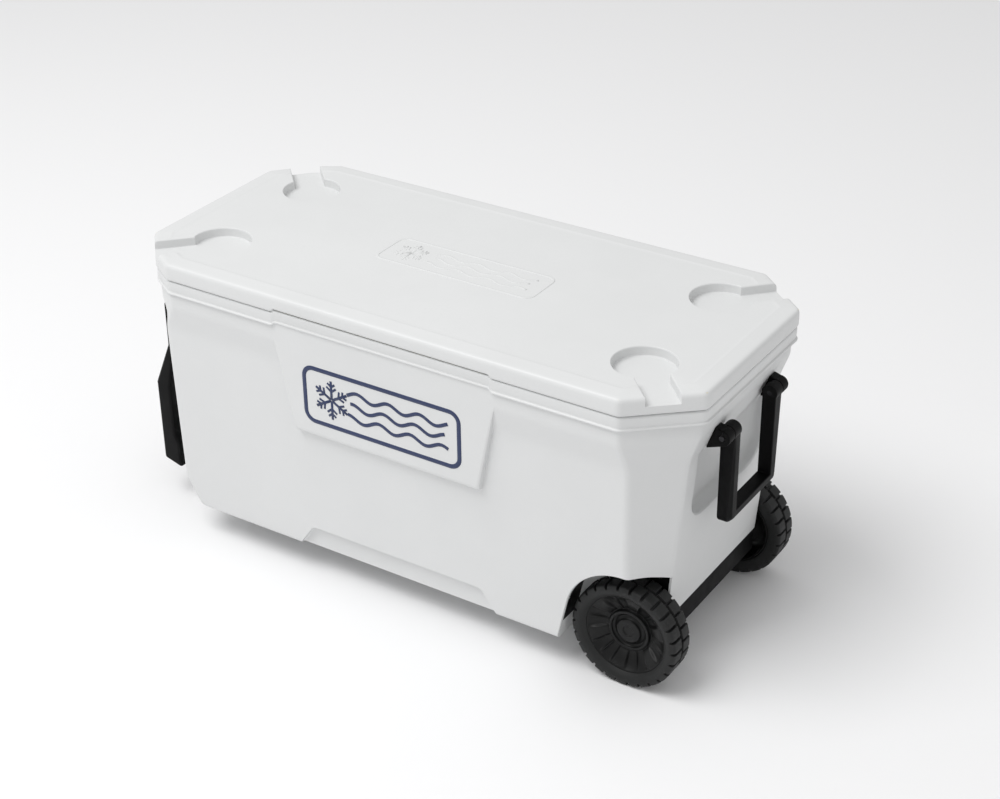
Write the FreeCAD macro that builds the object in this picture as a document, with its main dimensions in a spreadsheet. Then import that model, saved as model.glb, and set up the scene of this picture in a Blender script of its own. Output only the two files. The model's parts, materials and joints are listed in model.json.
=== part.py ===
import FreeCAD, Part
import os
import re

import Sketcher

# Wheeled cooler: a moulded tub on two wheels, a hinged lid, a bail handle over the wheels and a tow handle
# at the other end. Millimetres. X runs along the length towards the wheels, Y runs from the front (negative)
# to the hinge side, Z is up and the floor is at zero. The sheet's X values count from the tub's middle.

DIMENSIONS = {
    "tub_mid_x": 11.5,
    "skin": 3.0,
    "fit_gap": 0.4,
    # lid and rim outline, half sizes and corner cuts
    "lid_half_x": 471.5,
    "lid_half_y": 217.0,
    "corner_cut_x": 90.0,
    "corner_cut_y": 78.0,
    "seam_z": 450.0,
    "lid_top_z": 479.0,
    "lid_edge_radius": 5.0,
    "rim_z": 428.5,
    # cup wells in the lid
    "cup_x": 362.0,
    "cup_y": 111.0,
    "cup_radius": 45.0,
    "cup_floor_z": 464.0,
    "slot_half_width": 24.0,
    "slot_length": 130.0,
    "slot_angle": 46.0,
    # outer form of the tub at its five levels
    "base_z": 47.5,
    "heel_z": 88.0,
    "wall_top_z": 365.0,
    "band_z": 405.0,
    "shell_top_z": 446.5,
    "base_y": 198.0,
    "heel_y": 199.0,
    "wall_y": 205.0,
    "band_y": 213.0,
    "side_y": 139.0,
    "base_tow_end": 388.0,
    "base_tow_corner": 378.0,
    "base_wheel_end": 419.0,
    "heel_end": 422.5,
    "wall_end": 447.5,
    "band_end": 462.0,
    "tow_corner": 403.0,
    "wheel_corner": 391.0,
    "band_corner": 381.0,
    # raised panel, hand recess and handle recess
    "panel_top_half": 190.0,
    "panel_low_half": 160.0,
    "panel_low_z": 262.0,
    "notch_low_half": 185.0,
    "notch_top_half": 150.0,
    "notch_top_z": 86.0,
    "notch_depth": 9.0,
    "recess_half_y": 105.0,
    "recess_low_z": 250.0,
    "recess_top_z": 345.0,
    "ledge_run": 40.0,
    "ledge_rise": 50.0,
    "recess_depth": 12.0,
    # raised floor over the axle, and the wheel arches
    "step_x": 285.0,
    "step_z": 95.0,
    "arch_x": 387.0,
    "arch_z": 98.0,
    "arch_radius": 92.0,
    "arch_foot_x": 282.0,
    # food compartment
    "cavity_top_x": 425.0,
    "cavity_top_y": 172.0,
    "cavity_low_x": 388.0,
    "cavity_low_y": 157.0,
    "cavity_cut": 30.0,
    "cavity_floor_z": 75.0,
    "shelf_x": 262.0,
    "shelf_z": 215.0,
    "plug_x": 418.0,
    "plug_y": 165.0,
    "plug_z": 438.0,
    # wheels and axle
    "wheel_x": 381.0,
    "wheel_z": 82.8,
    "wheel_mid_y": 165.5,
    "tyre_radius": 82.8,
    "tyre_seat": 62.0,
    "half_tread": 23.5,
    "axle_radius": 6.0,
    "running_gap": 0.05,
    "bush_radius": 9.0,
    "beam_low_z": 60.0,
    "beam_near_x": 346.0,
    "beam_far_x": 422.5,
    "beam_half_y": 136.0,
    "beam_wall": 4.0,
    # bail handle
    "bail_x": 470.0,
    "bail_z": 383.0,
    "bail_low_z": 237.0,
    "bail_near_y": 53.0,
    "bail_far_y": 73.0,
    "bail_thick": 21.0,
    "bar_height": 17.0,
    "boss_radius": 12.0,
    "pin_radius": 4.0,
    "bail_bracket_far_y": 91.0,
    "pin_reach": 100.0,
    # tow handle
    "tow_x": -462.0,
    "tow_z": 352.0,
    "tow_boss_radius": 8.0,
    "tow_pin_reach": 150.0,
    "tow_near_y": 118.0,
    "tow_far_y": 136.0,
    "tow_low_z": 54.0,
    "tow_grip_top_z": 100.0,
    "tow_bend_z": 206.0,
    "tow_out_x": -505.0,
    "tow_arm_width": 28.0,
    "tow_grip_width": 35.0,
    "tow_bracket_y": 98.0,
    # hinges
    "hinge_y": 221.4,
    "hinge_spacing": 300.0,
    "hinge_half": 27.0,
    "knuckle_radius": 4.0,
    "hinge_pin_radius": 2.0,
    "leaf_thick": 2.5,
    "screw_radius": 1.9,
    "screw_head_radius": 3.6,
    "screw_bite": 2.8,
    "screw_offset": 17.0,
    # drain
    "drain_x": -330.0,
    "drain_z": 92.0,
    "drain_wall_y": 199.2,
    "spout_radius": 9.0,
    "spout_bore": 6.0,
    # feet
    "foot_x": -345.0,
    "foot_length": 60.0,
    "foot_near_y": 60.0,
    "foot_width": 42.0,
    # badge
    "badge_half_x": 137.0,
    "badge_low_z": 286.0,
    "badge_high_z": 381.0,
    "badge_thick": 0.8,
}

doc = FreeCAD.newDocument("wheeled_cooler")
sheet = doc.addObject("Spreadsheet::Sheet", "Dims")
for row, (alias, value) in enumerate(DIMENSIONS.items(), 1):
    sheet.set("A%d" % row, alias)
    sheet.set("B%d" % row, str(value))
    sheet.setAlias("B%d" % row, alias)
doc.recompute()

ALIAS = re.compile(r"\b(" + "|".join(DIMENSIONS) + r")\b")
NODES = []


def bound(expression):
    """The expression as other objects write it, with each alias in the sheet's name."""
    return ALIAS.sub(r"Dims.\1", str(expression))


def number(expression):
    """The value of an expression, from the sheet."""
    result = sheet.evalExpression(bound(expression))
    return float(getattr(result, "Value", result))


def bind(thing, **properties):
    """Tie properties to expressions. A double underscore stands for a dot in the property's path."""
    for name, expression in properties.items():
        thing.setExpression(name.replace("__", "."), bound(expression))
    return thing


def place(thing, x="0", y="0", z="0", angle=0.0, axis=(0, 0, 1)):
    """Put an object at bound coordinates, turned about an axis."""
    thing.Placement = FreeCAD.Placement(FreeCAD.Vector(), FreeCAD.Rotation(FreeCAD.Vector(*axis), angle))
    return bind(thing, Placement__Base__x=x, Placement__Base__y=y, Placement__Base__z=z)


def block(name, x, y, z):
    """A box between bound limits on each axis."""
    box = doc.addObject("Part::Box", name)
    bind(box, Length="(%s) - (%s)" % (x[1], x[0]), Width="(%s) - (%s)" % (y[1], y[0]))
    bind(box, Height="(%s) - (%s)" % (z[1], z[0]))
    return place(box, x[0], y[0], z[0])


def rod(name, along, centre, radius, length):
    """A cylinder along an axis, from a bound starting point."""
    turns = {"X": (90.0, (0, 1, 0)), "Y": (-90.0, (1, 0, 0)), "Z": (0.0, (0, 0, 1))}
    cylinder = doc.addObject("Part::Cylinder", name)
    bind(cylinder, Radius=radius, Height=length)
    return place(cylinder, *centre, angle=turns[along][0], axis=turns[along][1])


def outline(body, role, offset, corners):
    """A closed polygon on one of the body's origin planes, with every corner bound."""
    sketch = body.newObject("Sketcher::SketchObject", body.Name + "_outline")
    plane = [feature for feature in body.Origin.OriginFeatures if feature.Role == role][0]
    sketch.AttachmentSupport = [(plane, "")]
    sketch.MapMode = "FlatFace"
    bind(sketch, AttachmentOffset__Base__z=offset)
    points = [FreeCAD.Vector(number(across), number(up), 0) for across, up in corners]
    count = len(points)
    for index in range(count):
        sketch.addGeometry(Part.LineSegment(points[index], points[(index + 1) % count]), False)
    for index in range(count):
        sketch.addConstraint(Sketcher.Constraint("Coincident", index, 2, (index + 1) % count, 1))
    for index, corner in enumerate(corners):
        for kind, expression in zip(("DistanceX", "DistanceY"), corner):
            rule = Sketcher.Constraint(kind, -1, 1, index, 1, number(expression))
            sketch.setExpression("Constraints[%d]" % sketch.addConstraint(rule), bound(expression))
    return sketch


def prism(name, role, low, high, corners):
    """A polygon padded between two levels along its plane's normal. The XZ plane's normal is minus Y."""
    body = doc.addObject("PartDesign::Body", name)
    sketch = outline(body, role, low, corners)
    pad = body.newObject("PartDesign::Pad", name + "_pad")
    pad.Profile = sketch
    bind(pad, Length="(%s) - (%s)" % (high, low))
    doc.recompute()
    return body


def side_prism(name, y_low, y_high, corners):
    """A polygon in X and Z, padded between two Y levels."""
    return prism(name, "XZ_Plane", "-(%s)" % y_high, "-(%s)" % y_low, corners)


def loft(name, levels):
    """Straight walls through polygons at rising levels."""
    body = doc.addObject("PartDesign::Body", name)
    sketches = [outline(body, "XY_Plane", level, corners) for level, corners in levels]
    skin = body.newObject("PartDesign::AdditiveLoft", name + "_loft")
    skin.Profile = sketches[0]
    skin.Sections = sketches[1:]
    skin.Ruled = True
    doc.recompute()
    return body


def turned(name, profile, x, y, z, angle=0.0):
    """A profile of radius and distance along Y, revolved about Y."""
    body = doc.addObject("PartDesign::Body", name)
    sketch = outline(body, "XY_Plane", "0", profile)
    revolution = body.newObject("PartDesign::Revolution", name + "_turn")
    revolution.Profile = sketch
    revolution.ReferenceAxis = (sketch, ["V_Axis"])
    revolution.Angle = 360
    doc.recompute()
    return place(body, x, y, z, angle=angle)


def fuse(name, *shapes):
    joined = doc.addObject("Part::MultiFuse", name)
    joined.Shapes = list(shapes)
    return joined


def common(name, *shapes):
    shared = doc.addObject("Part::MultiCommon", name)
    shared.Shapes = list(shapes)
    return shared


def cut(name, base, *tools):
    """The base less every tool."""
    result = doc.addObject("Part::Cut", name)
    result.Base = base
    result.Tool = tools[0] if len(tools) == 1 else fuse(name + "_tools", *tools)
    return result


def group(name, *solids):
    """Several separate solids kept in one node."""
    compound = doc.addObject("Part::Compound", name)
    compound.Links = list(solids)
    return compound


def node(label, thing, shift=True):
    """Name a finished sub-part and move it from the tub's middle to the origin."""
    if shift:
        place(thing, "tub_mid_x")
    thing.Label = label
    NODES.append(thing)
    return thing


def mirrored(corners):
    """The other half of an outline that is the same on both sides of the X axis."""
    return [(across, "-(%s)" % up) for across, up in reversed(corners)]


def octagon(tow_end, tow_corner, wheel_corner, wheel_end, front, side, inset="0"):
    """A plan outline with cut corners, drawn in by an inset."""
    half = [
        ("-(%s - %s)" % (tow_end, inset), "-(%s - %s / 2)" % (side, inset)),
        ("-(%s - %s / 2)" % (tow_corner, inset), "-(%s - %s)" % (front, inset)),
        ("%s - %s / 2" % (wheel_corner, inset), "-(%s - %s)" % (front, inset)),
        ("%s - %s" % (wheel_end, inset), "-(%s - %s / 2)" % (side, inset)),
    ]
    return half + mirrored(half)


def rim_outline(inset="0"):
    corner = "(lid_half_x - corner_cut_x)"
    side = "(lid_half_y - corner_cut_y)"
    return octagon("lid_half_x", corner, corner, "lid_half_x", "lid_half_y", side, inset)


def cavity_outline(half_x, half_y, grow="0"):
    corner = "(%s - cavity_cut)" % half_x
    side = "(%s - cavity_cut)" % half_y
    return octagon(half_x, corner, corner, half_x, half_y, side, "(-(%s))" % grow)


# ---------------------------------------------------------------- outer and inner forms of the tub


def tub_form(name, inset):
    """The tub's tapered form with its panels, hand recesses, handle recess and raised wheel-end floor."""
    base_level = "base_z + %s" % inset
    rings = [
        (base_level, "base_tow_end", "base_tow_corner", "wheel_corner", "base_wheel_end", "base_y"),
        ("heel_z", "heel_end", "tow_corner", "wheel_corner", "heel_end", "heel_y"),
        ("wall_top_z", "wall_end", "tow_corner", "wheel_corner", "wall_end", "wall_y"),
        ("band_z", "band_end", "band_corner", "band_corner", "band_end", "band_y"),
        ("shell_top_z", "band_end", "band_corner", "band_corner", "band_end", "band_y"),
    ]
    walls = loft(name + "_walls", [(ring[0], octagon(*ring[1:], "side_y", inset)) for ring in rings])
    panel_corners = [
        ("-(panel_top_half - %s)" % inset, "band_z + 5"),
        ("-(panel_low_half - %s)" % inset, "panel_low_z + %s" % inset),
        ("panel_low_half - %s" % inset, "panel_low_z + %s" % inset),
        ("panel_top_half - %s" % inset, "band_z + 5"),
    ]
    panel = side_prism(name + "_panel", "-(band_y - %s)" % inset, "band_y - %s" % inset, panel_corners)
    notch_corners = [
        ("-(notch_low_half + %s)" % inset, "base_z - 10"),
        ("-(notch_top_half + %s)" % inset, "notch_top_z + %s" % inset),
        ("notch_top_half + %s" % inset, "notch_top_z + %s" % inset),
        ("notch_low_half + %s" % inset, "base_z - 10"),
    ]
    notch_y = "base_y - notch_depth - %s" % inset
    front_notch = side_prism(name + "_front_notch", "-(band_y + 10)", "-(%s)" % notch_y, notch_corners)
    back_notch = side_prism(name + "_back_notch", notch_y, "band_y + 10", notch_corners)
    slope = "(wall_end - heel_end) / (wall_top_z - heel_z)"
    recess_low_x = "heel_end + %s * (recess_low_z - heel_z) - recess_depth - %s" % (slope, inset)
    recess_back_x = "wall_end - recess_depth - %s" % inset
    recess_corners = [
        (recess_low_x, "recess_low_z - %s" % inset),
        (recess_back_x, "recess_top_z"),
        (recess_back_x + " + ledge_run", "recess_top_z + ledge_rise"),
        ("band_end + 20", "recess_top_z + ledge_rise"),
        ("band_end + 20", "recess_low_z - %s" % inset),
    ]
    recess_y = "recess_half_y + %s" % inset
    recess = side_prism(name + "_recess", "-(%s)" % recess_y, recess_y, recess_corners)
    step = block(
        name + "_step",
        ("step_x - %s" % inset, "band_end + 20"),
        ("-side_y", "side_y"),
        ("base_z - 10", "step_z + %s" % inset),
    )
    return cut(name, fuse(name + "_solid", walls, panel), front_notch, back_notch, recess, step)


def arch_form(name, grow, y_low, y_high):
    """The space of one wheel arch: a round over the wheel, a sloping foot and a flat run out of the end."""
    depth = "(%s) - (%s)" % (y_high, y_low)
    round_part = rod(name + "_round", "Y", ("arch_x", y_low, "arch_z"), "arch_radius + %s" % grow, depth)
    run_out = block(
        name + "_run_out",
        ("arch_x", "band_end + 20"),
        (y_low, y_high),
        ("base_z - 10", "arch_z + arch_radius + %s" % grow),
    )
    foot_corners = [
        ("arch_foot_x - %s" % grow, "base_z - 10"),
        ("arch_foot_x - %s" % grow, "base_z + 5"),
        ("arch_x - (arch_radius + %s) * 0.97" % grow, "arch_z + (arch_radius + %s) * 0.24" % grow),
        ("arch_x", "arch_z"),
        ("arch_x", "base_z - 10"),
    ]
    foot = side_prism(name + "_foot", y_low, y_high, foot_corners)
    return fuse(name, round_part, run_out, foot)


outer_form = tub_form("tub_outer_form", "0")
inner_form = tub_form("tub_inner_form", "skin")
OUTSIDE_Y = "band_y + 20"
front_arch = arch_form("front_arch", "0", "-(%s)" % OUTSIDE_Y, "-side_y")
rear_arch = arch_form("rear_arch", "0", "side_y", OUTSIDE_Y)
drain_hole = rod("drain_hole", "Y", ("drain_x", "cavity_low_y - 20", "drain_z"), "spout_radius + 0.2", "80")
node("tub_shell", cut("tub_shell", outer_form, inner_form, front_arch, rear_arch, drain_hole))

front_arch_skin = arch_form("front_arch_skin", "skin", "-(%s)" % OUTSIDE_Y, "-(side_y - skin)")
rear_arch_skin = arch_form("rear_arch_skin", "skin", "side_y - skin", OUTSIDE_Y)
front_lining = common("front_lining", front_arch_skin, inner_form)
rear_lining = common("rear_lining", rear_arch_skin, inner_form)
node("wheel_arch_liner_front", cut("wheel_arch_liner_front", front_lining, front_arch))
node("wheel_arch_liner_rear", cut("wheel_arch_liner_rear", rear_lining, rear_arch))


# ---------------------------------------------------------------- food compartment and its rim


def basin(name, grow, top_z):
    """The food compartment's form, with its raised shelf over the wheels."""
    low = cavity_outline("cavity_low_x", "cavity_low_y", grow)
    top = cavity_outline("cavity_top_x", "cavity_top_y", grow)
    walls = loft(name + "_walls", [("cavity_floor_z - %s" % grow, low), (top_z, top)])
    shelf = block(
        name + "_shelf",
        ("shelf_x + %s" % grow, "cavity_top_x + 20"),
        ("-(cavity_top_y + 20)", "cavity_top_y + 20"),
        ("cavity_floor_z - 20", "shelf_z - %s" % grow),
    )
    return cut(name, walls, shelf)


basin_outside = basin("basin_outside", "skin", "seam_z - skin")
basin_inside = basin("basin_inside", "0", "seam_z")
node("tub_liner", cut("tub_liner", basin_outside, basin_inside, drain_hole))
collar = prism("collar", "XY_Plane", "rim_z", "seam_z", rim_outline())
collar_hollow = prism("collar_hollow", "XY_Plane", "rim_z", "seam_z - skin", rim_outline("skin"))
compartment_mouth = cavity_outline("cavity_top_x", "cavity_top_y")
rim_opening = prism("rim_opening", "XY_Plane", "rim_z", "seam_z", compartment_mouth)
node("tub_rim", cut("tub_rim", collar, collar_hollow, rim_opening))
node("tub_foam", cut("tub_foam", inner_form, basin_outside, front_arch_skin, rear_arch_skin, drain_hole))

# ---------------------------------------------------------------- lid


def cup_wells(name, grow, low_z):
    """Four round wells, each with a slot that runs out through the cut corner."""
    forms = []
    for index, (side_x, side_y) in enumerate(((1, 1), (-1, 1), (-1, -1), (1, -1))):
        well = rod(
            "%s_round_%d" % (name, index),
            "Z",
            ("cup_x * %d" % side_x, "cup_y * %d" % side_y, low_z),
            "cup_radius + %s" % grow,
            "lid_top_z + 5 - (%s)" % low_z,
        )
        slot = block(
            "%s_slot_%d" % (name, index),
            ("0", "slot_length"),
            ("-(slot_half_width + %s)" % grow, "slot_half_width + %s" % grow),
            ("0", "lid_top_z + 5 - (%s)" % low_z),
        )
        lie = "slot_angle * %d + %d" % (side_x * side_y, 0 if side_x > 0 else 180)
        slot_turn = FreeCAD.Rotation(FreeCAD.Vector(0, 0, 1), number(lie))
        sideways = slot_turn.multVec(FreeCAD.Vector(0, -number("slot_half_width + %s" % grow), 0))
        place(
            slot,
            "cup_x * %d + %.6f" % (side_x, sideways.x),
            "cup_y * %d + %.6f" % (side_y, sideways.y),
            low_z,
            angle=number(lie),
        )
        forms += [well, slot]
    return fuse(name, *forms)


lid_outer = prism("lid_outer", "XY_Plane", "seam_z + fit_gap", "lid_top_z", rim_outline())
lid_pad = lid_outer.Tip
top_edges = []
for index, edge in enumerate(lid_pad.Shape.Edges, 1):
    if all(abs(vertex.Z - number("lid_top_z")) < 0.01 for vertex in edge.Vertexes):
        top_edges.append("Edge%d" % index)
rounding = lid_outer.newObject("PartDesign::Fillet", "lid_outer_rounding")
rounding.Base = (lid_pad, top_edges)
bind(rounding, Radius="lid_edge_radius")
doc.recompute()
wells = cup_wells("cup_wells", "0", "cup_floor_z")
well_walls = cup_wells("cup_well_walls", "skin", "cup_floor_z - skin")
lid_hollow = prism("lid_hollow", "XY_Plane", "seam_z + fit_gap", "lid_top_z - skin", rim_outline("skin"))
lid_inner = cut("lid_inner", lid_hollow, well_walls)
node("lid_shell", cut("lid_shell", cut("lid_with_wells", lid_outer, wells), lid_inner))

LINER_TOP_Z = "seam_z + fit_gap + skin"
flange = prism("lid_flange", "XY_Plane", "seam_z + fit_gap", LINER_TOP_Z, rim_outline("skin"))
plug = prism("lid_plug", "XY_Plane", "plug_z", LINER_TOP_Z, cavity_outline("plug_x", "plug_y"))
plug_inside = cavity_outline("plug_x", "plug_y", "-skin")
plug_hollow = prism("lid_plug_hollow", "XY_Plane", "plug_z + skin", LINER_TOP_Z, plug_inside)
node("lid_liner", cut("lid_liner", fuse("lid_liner_solid", flange, plug), plug_hollow))
node("lid_foam", fuse("lid_foam", cut("lid_foam_upper", lid_inner, flange), plug_hollow))

# ---------------------------------------------------------------- axle, beam and wheels

beam_y = ("-beam_half_y", "beam_half_y")
beam = block("beam_block", ("beam_near_x", "beam_far_x"), beam_y, ("beam_low_z", "step_z"))
BAY_COUNT = 4
BAY_PITCH = "((2 * beam_half_y - beam_wall) / %d)" % BAY_COUNT
pockets = []
for index in range(BAY_COUNT):
    near_y = "beam_wall - beam_half_y + %s * %d" % (BAY_PITCH, index)
    pockets.append(
        block(
            "beam_pocket_%d" % index,
            ("beam_near_x + beam_wall", "beam_far_x - beam_wall"),
            (near_y, "%s + %s - beam_wall" % (near_y, BAY_PITCH)),
            ("beam_low_z - 1", "step_z - beam_wall"),
        )
    )
beam_bore_start = ("wheel_x", "-beam_half_y - 1", "wheel_z")
beam_bore = rod("beam_bore", "Y", beam_bore_start, "axle_radius + 0.1", "2 * beam_half_y + 2")
node("axle_beam", cut("axle_beam", beam, beam_bore, *pockets))

HUB_FACE_Y = "(wheel_mid_y + 3)"
axle_start = ("wheel_x", "-" + HUB_FACE_Y, "wheel_z")
axle = node("axle", rod("axle", "Y", axle_start, "axle_radius", "2 * " + HUB_FACE_Y), shift=False)
bind(axle, Placement__Base__x="wheel_x + tub_mid_x")

RING_SECTIONS = {
    "spacer": [
        ("axle_radius + 0.1", "-29.2"),
        ("10", "-29.2"),
        ("10", "-23.8"),
        ("axle_radius + 0.1", "-23.8"),
    ],
    "push_cap": [("axle_radius", "0.3"), ("11", "0.3"), ("10", "3"), ("axle_radius", "3")],
    "bush": [
        ("axle_radius + running_gap", "-23.3"),
        ("bush_radius", "-23.3"),
        ("bush_radius", "0"),
        ("axle_radius + running_gap", "0"),
    ],
    "rim": [
        ("bush_radius", "-23.3"),
        ("14", "-23.3"),
        ("14", "-4"),
        ("31", "-4"),
        ("57", "16"),
        ("57", "-22"),
        ("tyre_seat", "-22"),
        ("tyre_seat", "21"),
        ("58", "22.5"),
        ("55", "20.5"),
        ("33", "1"),
        ("31", "5"),
        ("27", "5"),
        ("26.5", "0"),
        ("bush_radius", "0"),
    ],
    "tyre": [
        ("tyre_seat", "-22"),
        ("tyre_seat + 4", "-half_tread"),
        ("tyre_radius - 6", "-half_tread"),
        ("tyre_radius", "-half_tread + 4"),
        ("tyre_radius", "half_tread - 4"),
        ("tyre_radius - 6", "half_tread"),
        ("tyre_seat + 4", "half_tread"),
        ("tyre_seat", "21"),
    ],
    "hub_cap": [
        ("0", "3.8"),
        ("21", "3.8"),
        ("21", "0.1"),
        ("24", "0.1"),
        ("24", "5.5"),
        ("22.5", "7"),
        ("9", "7"),
        ("8", "5.2"),
        ("0", "5.2"),
    ],
}
for side, direction, angle in (("front", -1, 180.0), ("rear", 1, 0.0)):
    for kind, profile in RING_SECTIONS.items():
        family = "axle" if kind in ("spacer", "push_cap") else "wheel"
        label = "%s_%s_%s" % (family, kind, side)
        middle_y = "wheel_mid_y * %d" % direction
        ring = turned(label, profile, "wheel_x + tub_mid_x", middle_y, "wheel_z", angle)
        node(label, ring, shift=False)

# ---------------------------------------------------------------- feet at the tow end

for side, direction in (("front", -1), ("rear", 1)):
    near_y = "foot_near_y" if direction > 0 else "-(foot_near_y + foot_width)"
    foot_body = prism(
        "foot_%s_body" % side,
        "YZ_Plane",
        "foot_x",
        "foot_x + foot_length",
        [
            ("%s + 5" % near_y, "0"),
            ("%s + foot_width - 5" % near_y, "0"),
            ("%s + foot_width" % near_y, "base_z"),
            (near_y, "base_z"),
        ],
    )
    node("foot_%s" % side, foot_body)

# ---------------------------------------------------------------- bail handle over the wheels


def lug(name, corners, pivot_x, pivot_z, y_low, y_high, radius="boss_radius"):
    """A bracket cheek with a round boss about its pivot."""
    cheek = side_prism(name + "_cheek", y_low, y_high, corners)
    boss = rod(name + "_boss", "Y", (pivot_x, y_low, pivot_z), radius, "(%s) - (%s)" % (y_high, y_low))
    return fuse(name, cheek, boss)


bail_near_x = "bail_x - bail_thick / 2"
bail_far_x = "bail_x + bail_thick / 2"
bail_parts = []
for side, direction in (("front", -1), ("rear", 1)):
    low = "-bail_far_y" if direction < 0 else "bail_near_y"
    width = "bail_far_y - bail_near_y"
    arm_y = (low, "%s + %s" % (low, width))
    bail_parts.append(block("bail_arm_" + side, (bail_near_x, bail_far_x), arm_y, ("bail_low_z", "bail_z")))
    bail_parts.append(rod("bail_eye_" + side, "Y", ("bail_x", low, "bail_z"), "boss_radius", width))
bar_z = ("bail_low_z", "bail_low_z + bar_height")
bail_parts.append(block("bail_bar", (bail_near_x, bail_far_x), ("-bail_far_y", "bail_far_y"), bar_z))
bail_bore_start = ("bail_x", "-pin_reach", "bail_z")
bail_bore = rod("bail_bore", "Y", bail_bore_start, "pin_radius + running_gap", "2 * pin_reach")
node("bail_handle", cut("bail_handle", fuse("bail_solid", *bail_parts), bail_bore))

bail_bracket_corners = [
    ("wall_end - 3", "wall_top_z - 4"),
    ("bail_x + 4", "bail_z - boss_radius + 0.7"),
    ("bail_x + 6", "bail_z + 10"),
    ("band_end - 8", "band_z - 5"),
]
bail_pins = []
for side, direction in (("front", -1), ("rear", 1)):
    low = "-bail_bracket_far_y" if direction < 0 else "bail_far_y + fit_gap"
    high = "-(bail_far_y + fit_gap)" if direction < 0 else "bail_bracket_far_y"
    raw = lug("bail_lug_" + side, bail_bracket_corners, "bail_x", "bail_z", low, high)
    pin_hole = rod("bail_pin_hole_" + side, "Y", bail_bore_start, "pin_radius", "2 * pin_reach")
    node("bail_bracket_" + side, cut("bail_bracket_" + side, raw, outer_form, pin_hole))
    pin_start = "-(bail_bracket_far_y)" if direction < 0 else "bail_near_y + 1"
    pin_length = "bail_bracket_far_y - bail_near_y - 1"
    bail_pins.append(rod("bail_pin_" + side, "Y", ("bail_x", pin_start, "bail_z"), "pin_radius", pin_length))
node("bail_pins", group("bail_pins", *bail_pins))

# ---------------------------------------------------------------- tow handle

tow_arm_corners = [
    ("tow_x - tow_boss_radius", "tow_z"),
    ("tow_x - tow_boss_radius - 0.5", "tow_bend_z + 80"),
    ("tow_out_x", "tow_bend_z"),
    ("tow_out_x", "tow_low_z + 10"),
    ("tow_out_x + tow_grip_width", "tow_low_z"),
    ("tow_out_x + tow_grip_width", "tow_grip_top_z"),
    ("tow_out_x + tow_arm_width", "tow_grip_top_z + 14"),
    ("tow_out_x + tow_arm_width", "tow_bend_z - 4"),
    ("tow_x + 1", "tow_bend_z + 72"),
    ("tow_x + 2", "tow_z"),
]
tow_grip_corners = [
    ("tow_out_x", "tow_grip_top_z - 6"),
    ("tow_out_x", "tow_low_z + 10"),
    ("tow_out_x + tow_grip_width", "tow_low_z"),
    ("tow_out_x + tow_grip_width", "tow_grip_top_z - 6"),
    ("tow_out_x + tow_grip_width - 6", "tow_grip_top_z"),
    ("tow_out_x + 6", "tow_grip_top_z"),
]
tow_bore_start = ("tow_x", "-tow_pin_reach", "tow_z")
tow_parts = [side_prism("tow_grip", "-tow_near_y", "tow_near_y", tow_grip_corners)]
tow_pins = []
tow_bracket_corners = [
    ("-(wall_end - 6)", "tow_z - 18"),
    ("tow_x + 2", "tow_z - tow_boss_radius + 0.3"),
    ("tow_x + 2", "tow_z + tow_boss_radius - 0.3"),
    ("-(wall_end - 2)", "tow_z + 15"),
]
for side, direction in (("front", -1), ("rear", 1)):
    low = "-tow_far_y" if direction < 0 else "tow_near_y"
    high = "-tow_near_y" if direction < 0 else "tow_far_y"
    tow_parts.append(side_prism("tow_arm_" + side, low, high, tow_arm_corners))
    arm_width = "tow_far_y - tow_near_y"
    tow_parts.append(rod("tow_eye_" + side, "Y", ("tow_x", low, "tow_z"), "tow_boss_radius", arm_width))
    bracket_low = "-(tow_near_y - fit_gap)" if direction < 0 else "tow_bracket_y"
    bracket_high = "-tow_bracket_y" if direction < 0 else "tow_near_y - fit_gap"
    reach = (bracket_low, bracket_high, "tow_boss_radius")
    raw = lug("tow_lug_" + side, tow_bracket_corners, "tow_x", "tow_z", *reach)
    pin_hole = rod("tow_pin_hole_" + side, "Y", tow_bore_start, "pin_radius", "2 * tow_pin_reach")
    node("tow_bracket_" + side, cut("tow_bracket_" + side, raw, outer_form, pin_hole))
    pin_start = "-(tow_far_y - 1)" if direction < 0 else "tow_bracket_y"
    pin_length = "tow_far_y - 1 - tow_bracket_y"
    tow_pins.append(rod("tow_pin_" + side, "Y", ("tow_x", pin_start, "tow_z"), "pin_radius", pin_length))
tow_bore = rod("tow_bore", "Y", tow_bore_start, "pin_radius + running_gap", "2 * tow_pin_reach")
node("tow_handle", cut("tow_handle", fuse("tow_solid", *tow_parts), tow_bore))
node("tow_pins", group("tow_pins", *tow_pins))

# ---------------------------------------------------------------- rear hinges

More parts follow.
